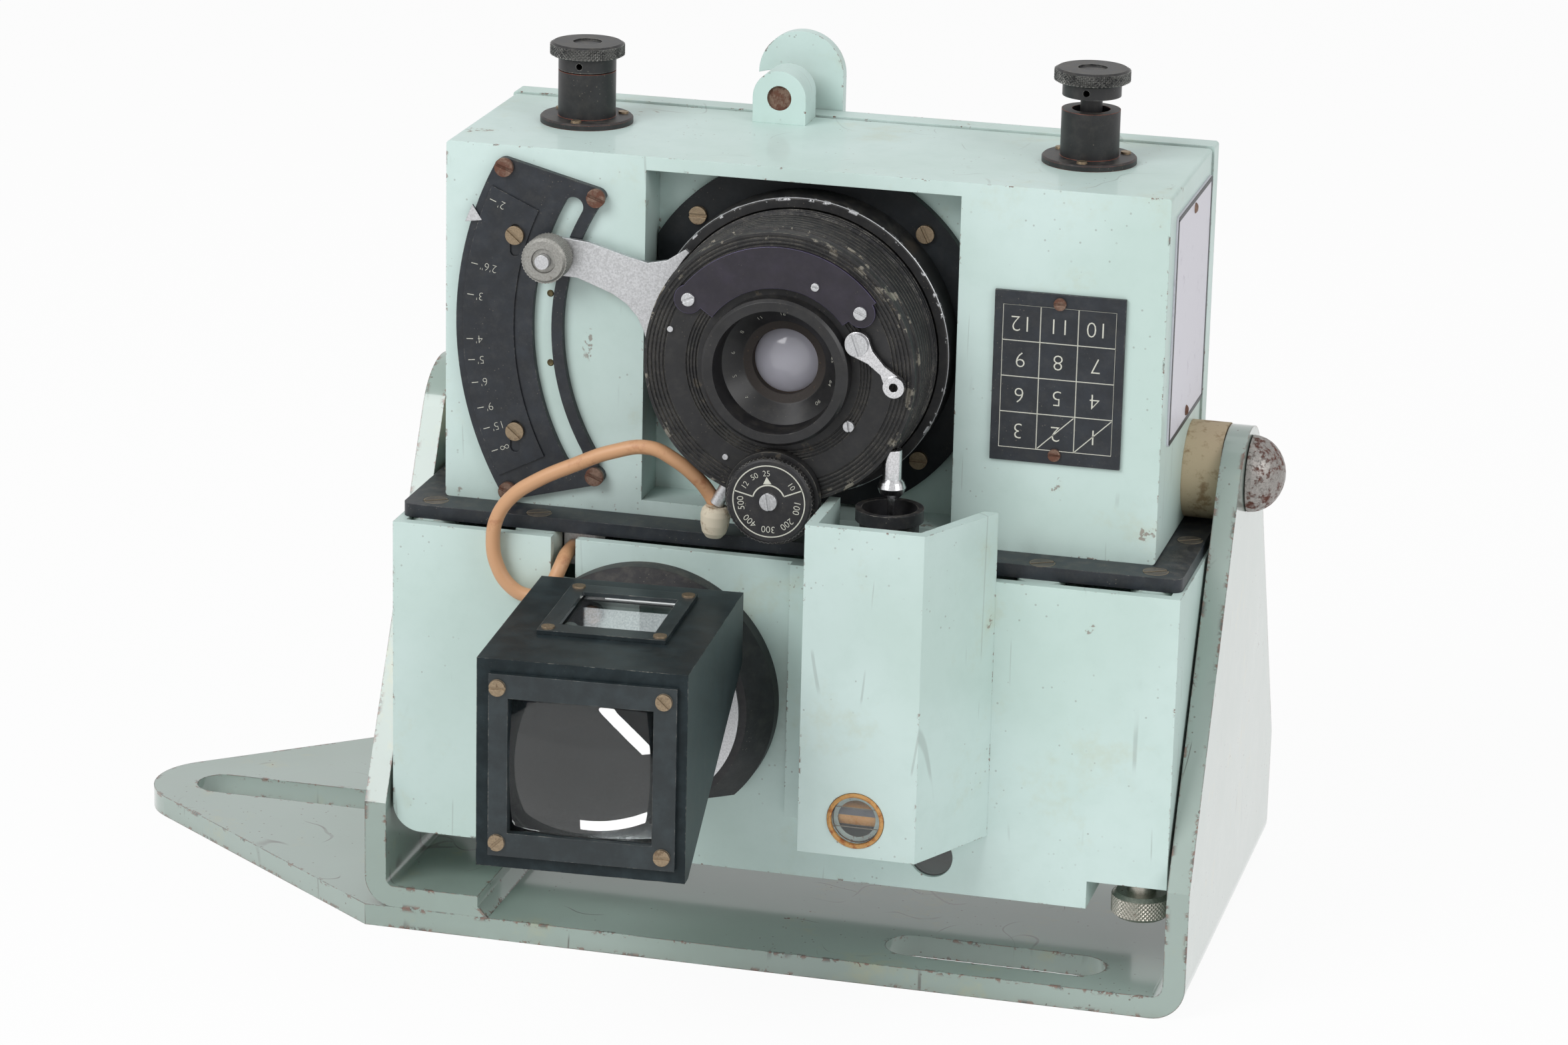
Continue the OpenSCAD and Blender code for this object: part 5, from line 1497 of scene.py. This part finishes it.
@dataclass
class LevelFace:
    """The pale ledge behind the level's glass and the two white lines that the vial is read by."""

    at: Point = LEVEL_AT
    bore: float = 5.2
    edge: float = 6.5
    line: float = 0.28
    lines: tuple[tuple[float, float], ...] = ((3.0, 5.7), (-2.5, 6.0))

    def build(self, shop: Shop) -> None:
        """Turns the ledge and lays the lines.

        Args:
            shop: the shop that models and finishes the pieces.
        """
        profile = [(self.bore, -0.5), (self.bore, -0.1), (self.edge - 0.1, -0.1), (self.edge, -0.2),
                   (self.edge, -0.5), (self.bore, -0.5)]
        ledge = shop.turned(profile, 64)
        shop.finished(shop.moved(ledge, placed(self.at)), "level_ledge", MINT, "mint_paint", "camera")
        bars = [shop.bar((-reach, rise), (reach, rise), self.line) for rise, reach in self.lines]
        lines = shop.moved(shop.joined(bars), placed(self.at))
        shop.finished(lines, "level_lines", ENGRAVED, "ivory", "camera")


@dataclass
class Winders:
    """The knurled rims of the winding knobs and the access screw."""

    rim_r: float = 10.42
    rims: tuple[tuple[str, float, float, str], ...] = (
        ("left_rim", -1.0, 242.4, "left_winder"), ("right_rim", 1.0, 245.9, "right_winder"))
    rim_high: float = 2.9
    screw_at: Point = (100.4, -48.0, 0.0)
    screw_r: float = 8.32
    screw_ends: tuple[float, float] = (22.9, 27.9)

    def build(self, shop: Shop) -> None:
        """Knurls the three rims.

        Args:
            shop: the shop that models and finishes the pieces.
        """
        for name, side, low, body in self.rims:
            band = shop.notched(self.rim_r, low, low + self.rim_high, sides=112, depth=0.4, rows=6)
            band = shop.moved(band, placed((side * KNOB_AT[0], KNOB_AT[1], 0.0), Facing.UP))
            shop.finished(band, name, RIM_BLACK, "black_metal", body)
        band = shop.notched(self.screw_r, *self.screw_ends, sides=88, depth=0.3, rows=8)
        band = shop.moved(band, placed(self.screw_at, Facing.UP))
        shop.finished(band, "access_knurling", NICKEL, "nickel", "access")


@dataclass
class Cable:
    """The shutter's tan cable, from its boot round to the lower housing."""

    radius: float = 2.0
    route: tuple[Point, ...] = (
        (-18.6, -62, 131.4), (-20.6, -62.9, 135.4), (-24.3, -64.8, 140.4), (-29.5, -66.3, 144.7),
        (-36, -67.2, 147.6), (-46.3, -67.8, 145.7), (-57, -68, 141), (-67.5, -68.2, 135.6),
        (-74.5, -68, 130.4), (-78.8, -68, 124), (-80, -68, 117), (-78.8, -68, 110.3),
        (-75.2, -68, 104.8), (-70.4, -68, 102.4), (-66, -68, 103.2), (-63, -67.6, 106.6),
        (-61.5, -66, 110.4), (-61, -62.5, 112.9), (-61, -58, 113.4), (-61, -54, 113.4))

    def build(self, shop: Shop) -> None:
        """Args:
            shop: the shop that models and finishes the pieces.
        """
        curve = bpy.data.curves.new("shutter_cable_run", "CURVE")
        curve.dimensions = "3D"
        curve.bevel_depth = self.radius * MM
        curve.bevel_resolution = 4
        curve.resolution_u = 6
        curve.use_fill_caps = True
        spline = curve.splines.new("BEZIER")
        spline.bezier_points.add(len(self.route) - 1)
        for point, at in zip(spline.bezier_points, self.route):
            point.co = Vector(at) * MM
            point.handle_left_type = "AUTO"
            point.handle_right_type = "AUTO"
        piece = bpy.data.objects.new("shutter_cable_run", curve)
        bpy.context.scene.collection.objects.link(piece)
        bpy.context.view_layer.update()
        shop.finished(piece, "shutter_cable_run", TAN, "tan_sleeve", "camera", "shutter_cable")


def main(frame: dict) -> None:
    """Builds the scene's pieces and dresses the CAD nodes.
    """
    logging.basicConfig(level=logging.INFO, format="%(name)s: %(message)s")
    shop = Shop()
    Camera().build()
    Cable().build(shop)
    for subpart in frame["record"]["subparts"]:
        node = subpart["node"]
        finish = NODE_FINISHES.get(node, SLOT_FINISHES[subpart["material_slot"]])
        shop.dress(frame["nodes"][node], finish)
    Studio().build(shop, frame["nodes"]["finder_glasses"])
    assemblies = (DistanceScale, NumberPlate, SpeedDial, LensNumbers, LevelFace, SidePlate, Winders)
    for assembly in assemblies:
        assembly().build(shop)
        LOG.info("built %s", assembly.__name__)


if __name__ == "__main__":
    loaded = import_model()
    main(loaded)
